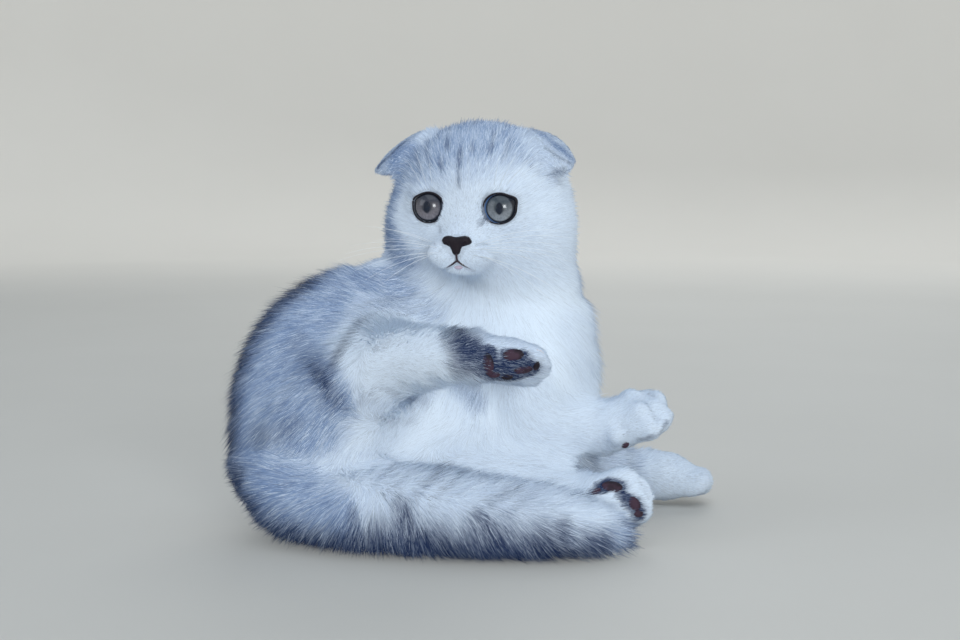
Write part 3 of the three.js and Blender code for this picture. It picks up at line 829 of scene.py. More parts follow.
# Down the near side of the tail the coat falls in a fan, along pixels of the picture
TAIL_FAN = [
    [(302, 466), (250, 470)],
    [(304, 474), (250, 502)],
    [(314, 486), (268, 532)],
    [(334, 496), (306, 550)],
    [(366, 502), (358, 556)],
    [(402, 504), (414, 560)],
    [(446, 504), (472, 562)],
    [(504, 508), (536, 564)],
    [(562, 518), (604, 560)],
]
COMBED_WITH = {
    "head": ["head", "trunk"], "nose": ["head"], "eye_right": ["head"], "eye_left": ["head"],
    "neck": ["head", "trunk"],
    "torso": ["trunk", "tail", "hind_right", "hind_left", "fore_right", "fore_left"],
    "tail": ["tail"], "ear_right": ["ear_right"], "ear_left": ["ear_left"],
    "foreleg_right": ["fore_right"], "forepaw_right": ["fore_right"],
    "foreleg_left": ["fore_left"], "forepaw_left": ["fore_left"],
    "hind_leg_right": ["hind_right", "trunk"], "hind_paw_right": ["hind_right"],
    "hind_leg_left": ["hind_left"], "hind_paw_left": ["hind_left"],
}
STROKE_STEP = 5 * MM
STROKE_REACH = 6 * MM
LESS_SIDEWAYS = 0.25  # on the trunk, where the hair falls rather than spreads


def comb(path):
    """Places along a stroke and the direction of the stroke at each."""
    points = [np.array(point) for point in path]
    places, ways = [], []
    for start, end in zip(points[:-1], points[1:]):
        count = max(2, int(np.linalg.norm(end - start) / STROKE_STEP))
        for share in (np.arange(count) + 0.5) / count:
            places.append(start + share * (end - start))
            ways.append(end - start)
    return np.array(places), unit(np.array(ways))


strokes = {}
mirrored = [[(-x, y, z) for x, y, z in path] for path in HEAD_STROKES[1:]]
head_paths = [[head_at(*point) for point in path] for path in HEAD_STROKES + mirrored]
strokes["head"] = [comb(path) for path in head_paths]
for ear, path in EAR_STROKES.items():
    strokes[ear] = [comb([head_at(*point) for point in path])]
for name, paths in BODY_STROKES.items():
    strokes[name] = [comb(in_mm(path)) for path in paths]
    if name == "trunk":
        strokes[name] = [(places, unit(ways * (1, LESS_SIDEWAYS, 1))) for places, ways in strokes[name]]
strokes["tail"] += [comb(pixels(*path)) for path in TAIL_FAN]

lie = np.zeros_like(place)
for number, node in enumerate(UNDER_SKIN):
    chosen = part == number
    sets = [pair for name in COMBED_WITH[node] for pair in strokes[name]]
    places = np.concatenate([pair[0] for pair in sets])
    ways = np.concatenate([pair[1] for pair in sets])
    apart = ((place[chosen, None, :] - places[None]) ** 2).sum(2)
    weight = 1 / (apart + STROKE_REACH**2) ** 2.5
    lie[chosen] = (weight @ ways) / weight.sum(1, keepdims=True)
for _ in range(3):
    lie = unit(evened(lie, 0.5, 8))
    lie = lie - (lie * outward).sum(1, keepdims=True) * outward
lie = unit(lie)

# Eyes: each is a ball with a clear bulge of cornea over a grey iris and a narrow upright pupil, wet and
# glossy, set behind the lids. Both look past the viewer a little to the left.
IRIS_MIDDLE = {"right": (426.8, 207.2), "left": (499.2, 208.6)}
IRIS_RADIUS = 5.6
PUPIL = (1.25, 2.3)
PUPIL_BLACK = (0.001, 0.007, 0.022)
CORNEA_RISE = 0.03
CORNEA_HALF_ANGLE = 50
IRIS_RING = (2.7, 1.5)  # mm from the middle, between which the iris darkens towards the pupil
# Deep, middle and bright tone of each iris, and the tone of the eye beyond it; the deep tone is also the
# painted shade of the upper lid
IRIS_TONES = {
    "right": ((0.030, 0.034, 0.048), (0.130, 0.124, 0.142), (0.245, 0.226, 0.255)),
    "left": ((0.036, 0.048, 0.062), (0.168, 0.190, 0.220), (0.325, 0.352, 0.385)),
}
EYE_EDGE = {"right": (0.014, 0.018, 0.030), "left": (0.10, 0.20, 0.42)}
LIMBUS = (0.010, 0.012, 0.020)


def settle(piece):
    """Puts a piece's place into its mesh and smooths its shading."""
    select_only(piece)
    bpy.ops.object.transform_apply(location=True, rotation=True, scale=True)
    piece.data.shade_smooth()
    return piece


def eye_finish(side, middle, gaze):
    """Iris, pupil and edge, painted by the distance from the line of the eye's gaze, with painted lid shade
    and light on the iris.
    """
    finish, shader, paint = material(
        f"{side} eye", roughness=0.6, specular_ior_level=0.0,
        coat_weight=1.0, coat_roughness=0.0, coat_ior=1.5,
    )
    level = gaze.cross(UP).normalized() * -1
    upward = gaze.cross(level).normalized()
    where = paint.node("TexCoord", output=3)
    away = paint.node("VectorMath", {0: where, 1: tuple(middle)}, operation="SUBTRACT")
    x = paint.node("VectorMath", {0: away, 1: tuple(level / MM)}, output=1, operation="DOT_PRODUCT")
    y = paint.node("VectorMath", {0: away, 1: tuple(upward / MM)}, output=1, operation="DOT_PRODUCT")
    out = paint.math("SQRT", x * x + y * y)
    turn = paint.math("ARCTAN2", y, x)
    round_middle = {0: paint.math("COSINE", turn), 1: paint.math("SINE", turn), 2: out * 0.12}
    spokes = paint.node("CombineXYZ", round_middle)
    fibres = paint.node("TexNoise", {"Vector": spokes, "Scale": 9.0, "Detail": 5.0, "Roughness": 0.62})
    deep_and_lid_shade, half_light, bright = IRIS_TONES[side]
    iris = (fibres * 0.75 + cloudy(paint, 420.0, 2.0) * 0.25).between(0.3, 0.7).mix(half_light, bright)
    ringed = out.between(*IRIS_RING).mix(iris, deep_and_lid_shade)
    # Painted shade of the upper lid darkens the top of the iris, and painted light brightens its lower part
    lid_shaded_iris = (y * -0.09 + out * 0.03 + 0.35).between(0.0, 0.9).mix(deep_and_lid_shade, ringed)
    rimmed = out.between(IRIS_RADIUS - 0.9, IRIS_RADIUS - 0.15).mix(lid_shaded_iris, LIMBUS)
    edge_tone = x.between(0.5, -2.5).mix(LIMBUS, EYE_EDGE[side])
    edged = out.between(IRIS_RADIUS, IRIS_RADIUS + 0.4).mix(rimmed, edge_tone)
    slit = paint.math("SQRT", (x / PUPIL[0]) * (x / PUPIL[0]) + (y / PUPIL[1]) * (y / PUPIL[1]))
    feed(shader, "Base Color", slit.between(1.25, 0.85).mix(edged, PUPIL_BLACK))
    return finish


for side, middle in eye_middle.items():
    gaze = (meets_ball(IRIS_MIDDLE[side], middle, eye_radius) - middle).normalized()
    turn = gaze.to_track_quat("Z", "Y").to_euler()
    bpy.ops.mesh.primitive_uv_sphere_add(
        segments=64, ring_count=40, radius=eye_radius, location=middle, rotation=turn,
    )
    eye = settle(bpy.context.object)
    eye.name = f"eyeball_{side}"
    points = array_of(eye.data.vertices, "co", 3) - np.array(middle)
    ahead = (points @ np.array(gaze)) / eye_radius
    bulge = 1 + CORNEA_RISE * steady(ahead, math.cos(math.radians(CORNEA_HALF_ANGLE)), 1.0)
    move_points(eye, np.array(middle) + points * bulge[:, None])
    eye.data.materials.append(eye_finish(side, middle, gaze))
    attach(eye, "root")
    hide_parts(f"eye_{side}")


# Lids: a bare rim of near-black skin round each eye, thicker above, drawn out to a point at both corners,
# with a bead of dark pink flesh in the inner corner.
LID_THICKNESS = (0.24, 0.40)
LID_TONES = ((0.007, 0.006, 0.010), (0.022, 0.016, 0.024))
LID_STEP = 5  # degrees
LID_SIDES = 8
LID_FURTHEST = 0.97  # of the eye's radius
LID_RISE = 0.6 * MM
DUCT_SIZE = (0.75, 1.35, 0.8)
DUCT_RISE = 0.1 * MM
DUCT_TONES = ((0.035, 0.016, 0.030), (0.11, 0.05, 0.085))


def tube(path, radii, sides, closed=False):
    """Points and faces of a solid tube along a path, with its radius at each point of it."""
    path = np.array([tuple(point) for point in path])
    count = len(path)
    ways = unit(np.roll(path, -1, 0) - np.roll(path, 1, 0)) if closed else unit(np.gradient(path, axis=0))
    across = unit(np.cross(ways, np.array([0.13, 0.31, 0.94])))
    beside = np.cross(ways, across)
    turns = 2 * np.pi * np.arange(sides) / sides
    ring = across[:, None] * np.cos(turns)[None, :, None] + beside[:, None] * np.sin(turns)[None, :, None]
    points = (path[:, None] + ring * np.asarray(radii)[:, None, None]).reshape(-1, 3)
    faces = []
    for n in range(count if closed else count - 1):
        here, there = n * sides, (n + 1) % count * sides
        for k in range(sides):
            beyond = (k + 1) % sides
            faces.append((here + k, here + beyond, there + beyond, there + k))
    if not closed:
        faces += [tuple(range(sides))[::-1], tuple(range((count - 1) * sides, count * sides))]
    return points, faces


lid_finish, shader, paint = material("lid rim", roughness=0.6, specular_ior_level=0.25)
grain = cloudy(paint, 1400.0, 2.0)
feed(shader, "Base Color", grain.mix(*LID_TONES))
feed(shader, "Normal", paint.node("Bump", {"Height": grain, "Strength": 0.3, "Distance": 0.0002}))
duct_finish, shader, paint = material("inner corner flesh", roughness=0.3, coat_weight=0.6)
feed(shader, "Base Color", cloudy(paint, 1600.0, 2.0).mix(*DUCT_TONES))

for side, middle in eye_middle.items():
    axis, level, upward = lid_frame(side)
    angles = np.arange(0, 360, LID_STEP)
    edge = np.minimum(opening(side, angles) * MM / eye_radius, LID_FURTHEST)
    lift = np.sqrt(1 - edge**2)
    turns = np.radians(angles)[:, None]
    ways = axis * lift[:, None] + (level * np.cos(turns) + upward * np.sin(turns)) * edge[:, None]
    path = np.array(middle) + ways * (eye_radius + LID_RISE)
    thick = LID_THICKNESS[0] + (LID_THICKNESS[1] - LID_THICKNESS[0]) * (0.5 + 0.5 * np.sin(turns[:, 0]))
    lids = new_piece(f"lids_{side}", *tube(path, thick * MM, LID_SIDES, closed=True))
    lids.data.shade_smooth()
    lids.data.materials.append(lid_finish)
    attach(lids, "root")
    inner = np.argmin(np.abs((angles - LIDS[side]["inner"]) % 360))
    way = unit((ways[inner] * 0.93 + axis * 0.07)[None])[0]
    bpy.ops.mesh.primitive_uv_sphere_add(
        segments=16, ring_count=10, radius=1, location=np.array(middle) + way * (eye_radius + DUCT_RISE),
        rotation=Vector(way).to_track_quat("Z", "Y").to_euler(),
    )
    bpy.context.object.scale = np.array(DUCT_SIZE) * MM
    bead = settle(bpy.context.object)
    bead.name = f"tear_duct_{side}"
    bead.data.materials.append(duct_finish)
    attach(bead, "root")

# Nose: bare, pebbled near-black leather, moist, with comma-shaped nostrils. It is made again from the solid
# in finer facets, and stands a little proud of the thin hair around it.
NOSE_CELL = 0.3 * MM
NOSE_TONES = ((0.004, 0.003, 0.006), (0.018, 0.010, 0.016))
nose = new_piece("nose_leather", *surface_of(["nose"]))
weld(nose)
apply(nose, "REMESH", mode="VOXEL", voxel_size=NOSE_CELL)
apply(nose, "SMOOTH", factor=0.5, iterations=2)
nose.data.shade_smooth()


def pebbled(paint, scale):
    """Small round cells, as on the bare skin of nose and pads."""
    where = paint.node("TexCoord", output=3)
    return paint.node("TexVoronoi", {"Vector": where, "Scale": scale})


nose_finish, shader, paint = material(
    "nose leather", roughness=0.55, specular_ior_level=0.22, coat_weight=0.05, coat_roughness=0.35,
)
feed(shader, "Base Color", cloudy(paint, 300.0, 3.0).mix(*NOSE_TONES))
pebbles = pebbled(paint, 2100.0)
feed(shader, "Normal", paint.node("Bump", {"Height": pebbles, "Strength": 0.35, "Distance": 0.00015}))
nose.data.materials.append(nose_finish)
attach(nose, "root")
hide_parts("nose")

# Mouth: dark edges of the closed lips, from the nose down to the middle of the mouth and out to both sides,
# and the little of the pale pink lower lip that shows below them.
# Each line is a path of pixels of the picture, its radius in mm at both ends, and how far it fades to its end
LIP_LINES = {
    "philtrum": ([(456.4, 251.5), (456.4, 256.0), (457.0, 261.0)], (0.46, 0.46), 0),
    "lip_edge_right": ([(457.0, 260.6), (453.2, 263.8), (448.6, 266.8), (443.0, 268.6)], (0.46, 0.08), 1),
    "lip_edge_left": ([(457.0, 260.6), (461.6, 264.2), (467.2, 267.6), (473.4, 270.2)], (0.46, 0.08), 1),
}
LINE_STEPS = 14
LINE_SIDES = 8
LINE_RISE = 0.35 * MM
LIP_TONES = ((0.014, 0.009, 0.014), (0.05, 0.025, 0.036))
LIP_END = (0.42, 0.46, 0.56)
LOWER_LIP = (458.6, 267.4)
LOWER_LIP_SIZE = (1.7, 0.9, 0.8)
LOWER_LIP_RISE = 0.1 * MM
LOWER_LIP_TONES = ((0.42, 0.34, 0.44), (0.56, 0.48, 0.58))


def eased_path(points, count):
    """Points along a smooth curve through the given ones."""
    points = np.array([tuple(point) for point in points])
    spans = np.concatenate([[0], np.cumsum(np.linalg.norm(np.diff(points, axis=0), axis=1))])
    wanted = np.linspace(0, spans[-1], count)
    flat = np.column_stack([np.interp(wanted, spans, column) for column in points.T])
    for _ in range(3):
        flat[1:-1] = (flat[:-2] + 2 * flat[1:-1] + flat[2:]) / 4
    return flat


def raised(u, v, rise):
    """Point seen at a pixel, brought nearer to the camera by the rise."""
    return seen(u, v) - sight(u, v) * rise


lip_finish, shader, paint = material("lip edge", roughness=0.4)
dark_lip = cloudy(paint, 1200.0, 2.0).mix(*LIP_TONES)
feed(shader, "Base Color", stored(paint, "along").between(0.25, 1.0).mix(dark_lip, LIP_END))
pink_finish, shader, paint = material("lower lip", roughness=0.38, coat_weight=0.2)
feed(shader, "Base Color", cloudy(paint, 900.0, 3.0).mix(*LOWER_LIP_TONES))
mouth_points = []
for name, (pixel_path, radii, fading) in LIP_LINES.items():
    path = eased_path([raised(u, v, LINE_RISE) for u, v in pixel_path], LINE_STEPS)
    mouth_points += [Vector(point) for point in path]
    line = new_piece(name, *tube(path, np.linspace(*radii, LINE_STEPS) * MM, LINE_SIDES))
    store(line, "along", np.repeat(np.linspace(0, fading, LINE_STEPS), LINE_SIDES))
    line.data.shade_smooth()
    line.data.materials.append(lip_finish)
    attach(line, "root")
bpy.ops.mesh.primitive_uv_sphere_add(
    segments=24, ring_count=14, radius=1, location=raised(*LOWER_LIP, LOWER_LIP_RISE),
)
lower_lip = bpy.context.object
lower_lip.scale = [size * MM for size in LOWER_LIP_SIZE]
settle(lower_lip).name = "lower_lip"
lower_lip.data.materials.append(pink_finish)
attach(lower_lip, "root")
mouth_points.append(seen(*LOWER_LIP))

# Pads: bare, pebbled, dark maroon cushions under the toes and the middle of each sole that the pose turns
# outwards. Each is a pixel of the picture, its half width, half height and turn there, in mm and degrees.
PADS = {
    "hind_right": [((488, 364), 2.2, 4.6, 8), ((513, 355), 4.3, 2.3, 4), ((523, 369), 4.3, 1.9, 6),
                   ((494, 374), 2.4, 1.4, 0), ((507, 376), 2.4, 1.4, 0), ((536, 365), 1.4, 2.3, 0)],
    "hind_left": [((612, 487), 4.3, 2.4, -8), ((634, 504), 2.3, 3.2, 30), ((596, 492), 2.2, 1.2, 35),
                  ((638, 514), 2.0, 1.5, 0)],
    "fore_right": [((625, 444), 1.6, 1.9, 0), ((606, 451), 2.6, 0.9, 0)],
}
PAD_THICKNESS = 1.2
PAD_RISE = 0.35
PAD_BARE = 0.8  # of a pad's lesser half width, within which no hair grows
PAD_TONES = ((0.010, 0.006, 0.011), (0.050, 0.024, 0.042))
pad_finish, shader, paint = material("paw pad", roughness=0.7, specular_ior_level=0.3)
feed(shader, "Base Color", cloudy(paint, 160.0, 2.0).between(0.38, 0.62).mix(*PAD_TONES))
pebbles = pebbled(paint, 1500.0)
feed(shader, "Normal", paint.node("Bump", {"Height": pebbles, "Strength": 0.5, "Distance": 0.0002}))
pad_places = []
for paw, pads in PADS.items():
    made = []
    for (u, v), wide, high, turn in pads:
        point = seen(u, v)
        normal = skin_tree.find_nearest(point)[1]
        facing = normal.to_track_quat("Z", "Y")
        bpy.ops.mesh.primitive_uv_sphere_add(
            segments=28, ring_count=18, radius=1, location=point + normal * PAD_RISE * MM,
        )
        pad = bpy.context.object
        facing.rotate(Quaternion(normal, math.radians(turn)))
        pad.rotation_mode = "QUATERNION"
        pad.rotation_quaternion = facing
        pad.scale = (wide * MM, high * MM, PAD_THICKNESS * MM)
        made.append(settle(pad))
        pad_places.append((point, PAD_BARE * min(wide, high) * MM))
    select_only(*made)
    bpy.ops.object.join()
    joined = made[0]
    joined.name = f"pads_{paw}"
    joined.data.materials.append(pad_finish)
    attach(joined, "root")

# Claws: small curved cones of clear pale horn, drawn back into the end of each toe so that only their tips
# show. The paws are where the solids have them, each with its middle in mm and its forward and upward ways.
PAWS = {
    "forepaw_right": {"middle": (65.8, -5.6, 48), "forward": (0.95, -0.3, 0.15), "up": (-0.3, -0.2, 0.9)},
    "forepaw_left": {"middle": (88.8, 57.4, 11.5), "forward": (1, 0.06, -0.05), "up": (0, 0, 1)},
    "hind_paw_right": {"middle": (14.8, -50.6, 78), "forward": (1, 0.05, -0.12), "up": (-0.1, 0.75, 0.65)},
    "hind_paw_left": {"middle": (55.8, -26.6, 17), "forward": (0.75, 0.1, 0.35), "up": (0.3, 0.9, -0.1)},
}
TOES = [(14.2, -9.2), (17.2, -3.1), (17.2, 3.1), (14.2, 9.2)]
CLAW_LENGTH = 2.8
CLAW_SUNK = 6.2
CLAW_LOWER = 0.6
CLAW_ARCH = (0.9, 2.2)
CLAW_RADIUS = (0.62, 0.03)
CLAW_STEPS = 8
CLAW_SIDES = 10
CLAW_TONES = ((0.50, 0.36, 0.36), (0.80, 0.76, 0.72))
claw_finish, shader, paint = material("claw horn", roughness=0.3, coat_weight=0.4, coat_roughness=0.15)
towards_tip = stored(paint, "along") * 0.7 + cloudy(paint, 1800.0, 2.0) * 0.3
feed(shader, "Base Color", towards_tip.mix(*CLAW_TONES))
for paw, set_at in PAWS.items():
    points, faces, shares = [], [], []
    forward = Vector(set_at["forward"]).normalized()
    beside = Vector(set_at["up"]).cross(forward).normalized()
    up = forward.cross(beside)
    for ahead, across in TOES:
        root = Vector(set_at["middle"]) + forward * (ahead - CLAW_SUNK) + beside * across - up * CLAW_LOWER
        path = []
        for share in np.linspace(0, 1, CLAW_STEPS):
            arch = CLAW_ARCH[0] * share - CLAW_ARCH[1] * share * share
            path.append((root + forward * CLAW_LENGTH * share + up * arch) * MM)
        more, sides = tube(path, np.linspace(*CLAW_RADIUS, CLAW_STEPS) * MM, CLAW_SIDES)
        faces += [tuple(len(points) + n for n in face) for face in sides]
        points += [tuple(point) for point in more]
        shares += list(np.repeat(np.linspace(0, 1, CLAW_STEPS), CLAW_SIDES))
    claws = new_piece(f"claws_{paw}", points, faces)
    store(claws, "along", shares)
    claws.data.shade_smooth()
    claws.data.materials.append(claw_finish)
    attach(claws, "root")

# Coat: tufts of hair as thin tapered blades with a bend, set close on the skin. Each follows the lie of the
# coat, rises to the outline of the body and leans towards its neighbours' tips, as soft fur gathers. Short on
# the face, ears and paws, longest on the chest, belly, back and tail.
# Rise at the root and at the tip in degrees, width in mm, gathering, and unruliness in degrees, for each part
PELAGE = {
    "head": (46, 24, 0.25, 0.15, 9), "nose": (28, 12, 0.22, 0.1, 8),
    "eye_right": (24, 12, 0.22, 0.1, 6), "eye_left": (24, 12, 0.22, 0.1, 6),
    "ear_right": (34, 14, 0.26, 0.1, 10), "ear_left": (34, 14, 0.26, 0.1, 10),
    "neck": (48, 30, 0.26, 0.2, 11), "torso": (50, 32, 0.27, 0.2, 11), "tail": (48, 28, 0.28, 0.26, 11),
    "foreleg_right": (46, 25, 0.25, 0.15, 10), "foreleg_left": (46, 25, 0.25, 0.15, 10),
    "hind_leg_right": (48, 28, 0.26, 0.2, 9), "hind_leg_left": (48, 28, 0.26, 0.2, 10),
    "forepaw_right": (38, 20, 0.24, 0.1, 8), "forepaw_left": (38, 20, 0.24, 0.1, 8),
    "hind_paw_right": (38, 20, 0.24, 0.1, 8), "hind_paw_left": (38, 20, 0.24, 0.1, 8),
}
FLATTER = 6  # degrees, on the breast
pelage = np.array([PELAGE[node] for node in UNDER_SKIN], dtype=float)[part]
on_breast = is_on("torso", "neck") & (place[:, 0] > -25 * MM) & (place[:, 1] < 12 * MM)
pelage[on_breast, :2] -= FLATTER
PELAGE_FIELDS = evened(pelage, 0.5, 14)
ROOT_SUNK = 0.4 * MM
SWIRLS = (11, 30)  # sizes in mm of the waves in which the hair strays from its lie
BEND_AT = (0.55, 0.45)  # shares of a blade's length below and above its bend
BLADE_LENGTHS = (0.66, 1.1)
STRAY_HAIRS = 0.06
STRAY_LENGTH = 1.3
BLADE_WIDTHS = (0.7, 1.25)
BEND_WIDTH = 0.85
LEADER_EVERY = 14
GATHERING_REACH = 4 * MM
BEND_GATHERS = 0.35
KEPT_CLEAR = (0.3, 0.6)  # of the coat's depth, by bend and tip over the skin beside them
DEEP_UNDER = 5 * MM
FACING = (0.82, 0.18)  # shares of the skin's outward way and of a blade's own in how it takes the light
ON_FLOOR = (0.1, 0.9)  # mm above the floor of the hair that is pressed on it
COAT_PATCH = 0.003  # side of the square of the skin's own map that a blade takes its colour from
BLADE_PATCH = [(1, 0), (0, 0), (0, 0.6), (1, 0.6), (1, 0.6), (0, 0.6), (0.5, 1)]

# Each blade is painted darker towards its root, painted shade deep in the coat, and varied at random by its
# tint
ROOT_IN_SHADE = 0.78
TIP_LIGHTER = 0.22
TINTED = 0.10
hair_finish, shader, paint = material("silver tabby fur", roughness=0.7, specular_ior_level=0.12)
root_shade_and_tint = ROOT_IN_SHADE + TIP_LIGHTER * stored(paint, "along").between(0.0, BEND_AT[0])
root_shade_and_tint = root_shade_and_tint + TINTED * stored(paint, "tint")
feed(shader, "Base Color", root_shade_and_tint.mix(BLACK, tabby_and_shade(paint)))

skin.data.calc_loop_triangles()
triangles = array_of(skin.data.loop_triangles, "vertices", 3, np.int64)
loops = array_of(skin.data.loop_triangles, "loops", 3, np.int64)
unwrap = array_of(skin.data.uv_layers["OFBake"].data, "uv", 2)
corners = place[triangles]
areas = np.linalg.norm(np.cross(corners[:, 1] - corners[:, 0], corners[:, 2] - corners[:, 0]), axis=1) / 2
# Short hair grows closer together
density = areas / (1.5 + depth[triangles[:, 0]])
share_kept = 1.0
TICKED = np.where(on_head, 0.36, 0.62)  # how dark the tips of the darkest hairs are where the coat is grey
ROOT_GREY = 0.8  # of the grey of the tips, as silver hair is pale at the root
skin_points = KDTree(len(place))
for number, point in enumerate(place):
    skin_points.insert(point, number)
skin_points.balance()

# No hair grows within these reaches of points of the pads, the lips and the nose, nor on the rims of the lids
BARE_LIP = 0.95 * MM
BARE_NOSE = [(-0.45, 0.3), (0, 0.3), (0.45, 0.3), (0, -0.3)]
BARE_RIM = 0.65  # mm past the opening
nose_middle = sum(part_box("nose"), Vector()) / 2
nose_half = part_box("nose")[1] - nose_middle
bare_places = pad_places + [(point, BARE_LIP) for point in mouth_points]
for x, z in BARE_NOSE:
    bare_places.append((nose_middle + Vector((x * nose_half.x, 0, z * nose_half.z)), 0.5 * nose_half.x))


def bare(points):
    """True where no hair grows: the eyes, the nose, the lips and the pads."""
    found = np.zeros(len(points), dtype=bool)
    for side in eye_middle:
        ways, far, ahead, past = round_eye(side, points)
        found |= (ahead > 0) & (past < BARE_RIM) & (far < eye_radius * 1.25)
    for place_bare, reach in bare_places:
        found |= np.linalg.norm(points - np.array(place_bare), axis=1) < reach
    return found


def coat(name, where, count, seed):
    """A coat piece of up to count blades, over the triangles of the skin whose first corner is in where."""
    draw = np.random.default_rng(seed)
    usable = np.flatnonzero(where[triangles[:, 0]])
    picked = draw.choice(usable, int(count * share_kept), p=density[usable] / density[usable].sum())
    weight = draw.dirichlet((1, 1, 1), len(picked))

    def at_roots(field):
        """What a field of the skin's points is at the root of each blade."""
        taken = field[triangles[picked]]
        return (taken * (weight if taken.ndim == 2 else weight[:, :, None])).sum(1)

    root = at_roots(place)
    grown = ~bare(root)
    picked, weight, root = picked[grown], weight[grown], root[grown]
    up, way = unit(at_roots(outward)), unit(at_roots(lie))
    rise_root, rise_tip, width, gathering, unruly = at_roots(PELAGE_FIELDS).T
    total = len(picked)
    patch = (unwrap[loops[picked]] * weight[:, :, None]).sum(1)

    swirl = waves(root, SWIRLS[0], seed + 1) * 0.9 + waves(root, SWIRLS[1], seed + 2) * 0.9
    yaw = np.radians(unruly * (swirl + draw.normal(size=total)))
    beside = np.cross(up, way)
    way = way * np.cos(yaw)[:, None] + beside * np.sin(yaw)[:, None]
    beside = np.cross(up, way)
    lift = draw.normal(size=total) * np.radians(unruly) * 0.6
    low, high = np.radians(rise_root) + lift, np.radians(rise_tip) + lift * 0.8
    climb = BEND_AT[0] * np.sin(np.radians(rise_root)) + BEND_AT[1] * np.sin(np.radians(rise_tip))
    strays = draw.random(total) < STRAY_HAIRS
    longer = np.where(strays, STRAY_LENGTH, draw.uniform(*BLADE_LENGTHS, total))
    length = at_roots(depth) / climb * longer * MM
    base = root - up * ROOT_SUNK
    steep, slack = ((way * np.cos(rise)[:, None] + up * np.sin(rise)[:, None]) for rise in (low, high))
    bend = base + steep * (length * BEND_AT[0])[:, None]
    tip = bend + slack * (length * BEND_AT[1])[:, None]

    # Blades lean to the tip of the leader that stands nearest
    leaders = np.arange(0, total, LEADER_EVERY)
    tree = KDTree(len(leaders))
    for number, leader in enumerate(leaders):
        tree.insert(root[leader], number)
    tree.balance()
    follows = leaders[[tree.find(point)[1] for point in root]]
    pull = (tip[follows] - tip) * gathering[:, None]
    close = np.exp(-((np.linalg.norm(root[follows] - root, axis=1) / GATHERING_REACH) ** 2))[:, None]
    tip = tip + pull * close
    bend = bend + pull * close * BEND_GATHERS

    # Hair that another part presses on is turned out along the skin, unless it lies deep under that part
    for points, clear in zip((bend, tip), KEPT_CLEAR):
        under = np.array([skin_points.find(point)[1] for point in points])
        away = points - place[under]
        height = (away * outward[under]).sum(1)
        away = np.linalg.norm(away, axis=1)
        height = np.where(np.abs(height) > 0.5 * away, height, away)
        short = np.maximum(clear * depth[under] * MM - height, 0)
        short[short > DEEP_UNDER] = 0
        points += outward[under] * short[:, None]
    under_tip = under

    roll = draw.normal(size=total) * 0.45
    side = beside * np.cos(roll)[:, None] + up * np.sin(roll)[:, None]
    half = side * (width * draw.uniform(*BLADE_WIDTHS, total) / 2 * MM)[:, None]
    points = np.stack([base - half, base + half, bend - half * BEND_WIDTH, bend + half * BEND_WIDTH, tip], 1)
    # Hair under the kitten is pressed flat on the floor
    pressed = draw.uniform(*ON_FLOOR, total) * MM
    points[:, :, 2] = np.maximum(points[:, :, 2], pressed[:, None])
    normal = unit(FACING[0] * up + FACING[1] * np.cross(unit(tip - base), side))

    # Each blade is a long face of four corners with a small one of three at its tip
    mesh = bpy.data.meshes.new(name)
    mesh.vertices.add(5 * total)
    mesh.vertices.foreach_set("co", points.astype(np.float32).ravel())
    first = 5 * np.arange(total)[:, None]
    mesh.loops.add(7 * total)
    mesh.loops.foreach_set("vertex_index", (first + [1, 0, 2, 3, 3, 2, 4]).astype(np.int32).ravel())
    mesh.polygons.add(2 * total)
    starts = (7 * np.arange(total)[:, None] + [0, 4]).astype(np.int32)
    mesh.polygons.foreach_set("loop_start", starts.ravel())
    mesh.update(calc_edges=True)
    mesh.shade_smooth()
    flat = patch[:, None, :] + (np.array(BLADE_PATCH) - 0.5) * COAT_PATCH
    mesh.uv_layers.new(name="OFBake").data.foreach_set("uv", flat.astype(np.float32).ravel())
    mesh.normals_split_custom_set_from_vertices(np.repeat(normal, 5, axis=0))
    piece = bpy.data.objects.new(name, mesh)
    bpy.context.collection.objects.link(piece)

    ticking = draw.normal(size=total) * 0.16
    ticked = draw.random(total) ** 2 * (TICKED * grey)[under_tip]
    for key, field, varied, root_share in (("grey", grey, 2.4, ROOT_GREY), ("dark", dark, 1.2, 1.0)):
        at_tip = np.clip(field[under_tip] * (1 + varied * ticking), 0, 1)
        at_root = np.clip(at_roots(field) * (1 + varied * ticking), 0, 1) * root_share
        if field is dark:
            at_tip = np.maximum(at_tip, ticked)
        midway = at_tip * 0.7 + at_root * 0.3
        store(piece, key, np.column_stack([at_root, at_root, midway, midway, at_tip]))
    store(piece, "tint", np.repeat(draw.normal(size=total), 5))
    store(piece, "along", np.tile([0, 0, BEND_AT[0], BEND_AT[0], 1], total))
    mesh.materials.append(hair_finish)
    # Blades neither shade nor light one another, because they stand for fur much finer than they are
    piece.visible_shadow = False
    piece.visible_diffuse = False
    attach(piece, "root")


ahead_of_ears = in_head(place)[:, 1] < -4
low_trunk = (place[:, 1] < 2 * MM) | (place[:, 0] > 30 * MM)
# Where each piece grows, and its count of blades
COATS = {
    "coat_face": (on_head & ahead_of_ears, 62000),
    "coat_crown": (on_head & ~ahead_of_ears, 40000),
    "coat_ears": (is_on("ear_right", "ear_left"), 16000),
    "coat_neck": (is_on("neck"), 26000),
    "coat_breast": (is_on("torso") & low_trunk, 60000),
    "coat_back": (is_on("torso") & ~low_trunk, 56000),
    "coat_tail": (is_on("tail"), 60000),
    "coat_hind_leg_right": (is_on("hind_leg_right", "hind_paw_right"), 46000),
    "coat_hind_leg_left": (is_on("hind_leg_left", "hind_paw_left"), 34000),
    "coat_foreleg_right": (is_on("foreleg_right", "forepaw_right"), 34000),
    "coat_foreleg_left": (is_on("foreleg_left", "forepaw_left"), 34000),
}
for seed, (name, (where, count)) in enumerate(COATS.items()):
    coat(name, where, count, 100 + 10 * seed)

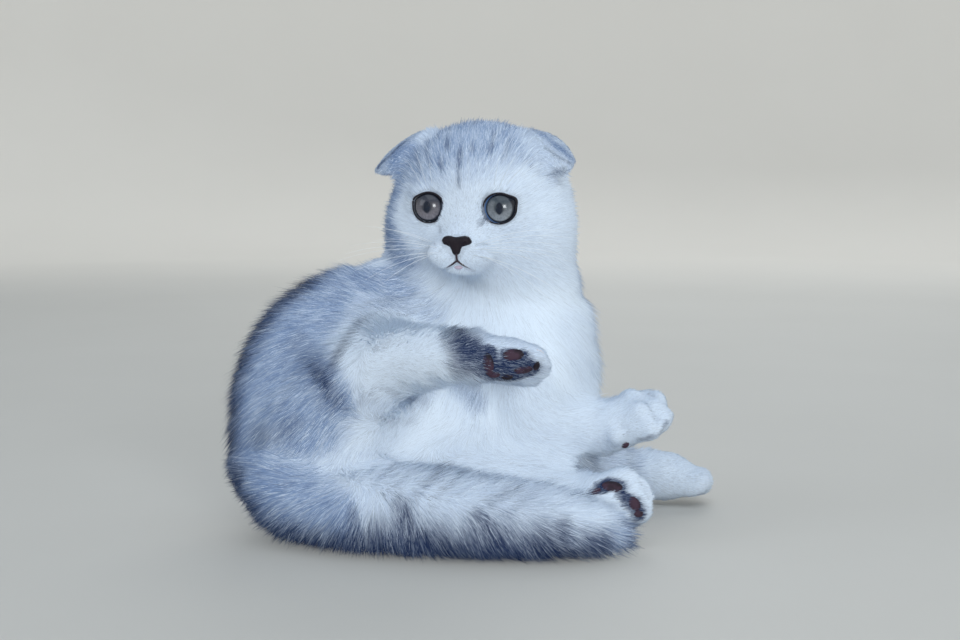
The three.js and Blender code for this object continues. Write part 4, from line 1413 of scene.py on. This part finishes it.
# Whiskers: stiff white hairs, thick at the root and drawn out fine, fanned from the pads of the upper lip,
# and a few over each eye.
# Each is the pixel of its root and of its tip, and how far its tip stands forward of its root, in mm
WHISKERS = {
    "right": [
        ((434, 243), (378, 229), 4), ((430, 243), (355, 226), 2), ((426, 244), (372, 241), 0),
        ((438, 248), (350, 246), 8), ((431, 248), (342, 255), 6), ((426, 250), (335, 262), 4),
        ((440, 253), (352, 272), 10), ((434, 254), (364, 281), 8), ((430, 256), (382, 284), 6),
    ],
    "left": [
        ((475, 245), (556, 230), 6), ((481, 245), (572, 238), 4), ((486, 246), (566, 247), 2),
        ((473, 250), (566, 256), 12), ((480, 250), (578, 265), 9), ((486, 252), (564, 272), 6),
        ((472, 255), (548, 285), 14), ((478, 256), (560, 292), 11), ((484, 257), (548, 298), 8),
    ],
    "brow_right": [((423, 188), (404, 158), 12), ((427, 187), (415, 152), 14), ((432, 187), (428, 154), 14)],
    "brow_left": [((494, 188), (500, 154), 14), ((499, 188), (516, 156), 13), ((504, 189), (528, 164), 11)],
}
WHISKER_BOW = (0, -0.35, 1)
WHISKER_SAG = 0.06
WHISKER_RADIUS = (0.10, 0.02)
WHISKER_STEPS = 14
WHISKER_SIDES = 5
WHISKER_TONES = ((0.74, 0.78, 0.84), (0.92, 0.94, 0.97))
whisker_finish, shader, paint = material("whisker", roughness=0.3)
feed(shader, "Base Color", stored(paint, "along").mix(*WHISKER_TONES))
for group, hairs in WHISKERS.items():
    points, faces, shares = [], [], []
    for root_pixel, tip_pixel, forward in hairs:
        root = seen(*root_pixel)
        way = sight(*tip_pixel)
        tip = EYE_POINT + way * ((root.y - forward * MM - EYE_POINT.y) / way.y)
        share = np.linspace(0, 1, WHISKER_STEPS)[:, None]
        bow = np.array(WHISKER_BOW) * (tip - root).length * WHISKER_SAG * 4
        path = np.array(root) * (1 - share) + np.array(tip) * share + bow * share * (1 - share)
        more, sides = tube(path, np.linspace(*WHISKER_RADIUS, WHISKER_STEPS) * MM, WHISKER_SIDES)
        faces += [tuple(len(points) + n for n in face) for face in sides]
        points += [tuple(point) for point in more]
        shares += list(np.repeat(share, WHISKER_SIDES))
    piece = new_piece(f"whiskers_{group}", points, faces)
    store(piece, "along", shares)
    piece.data.shade_smooth()
    piece.data.materials.append(whisker_finish)
    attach(piece, "root")

low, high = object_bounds()
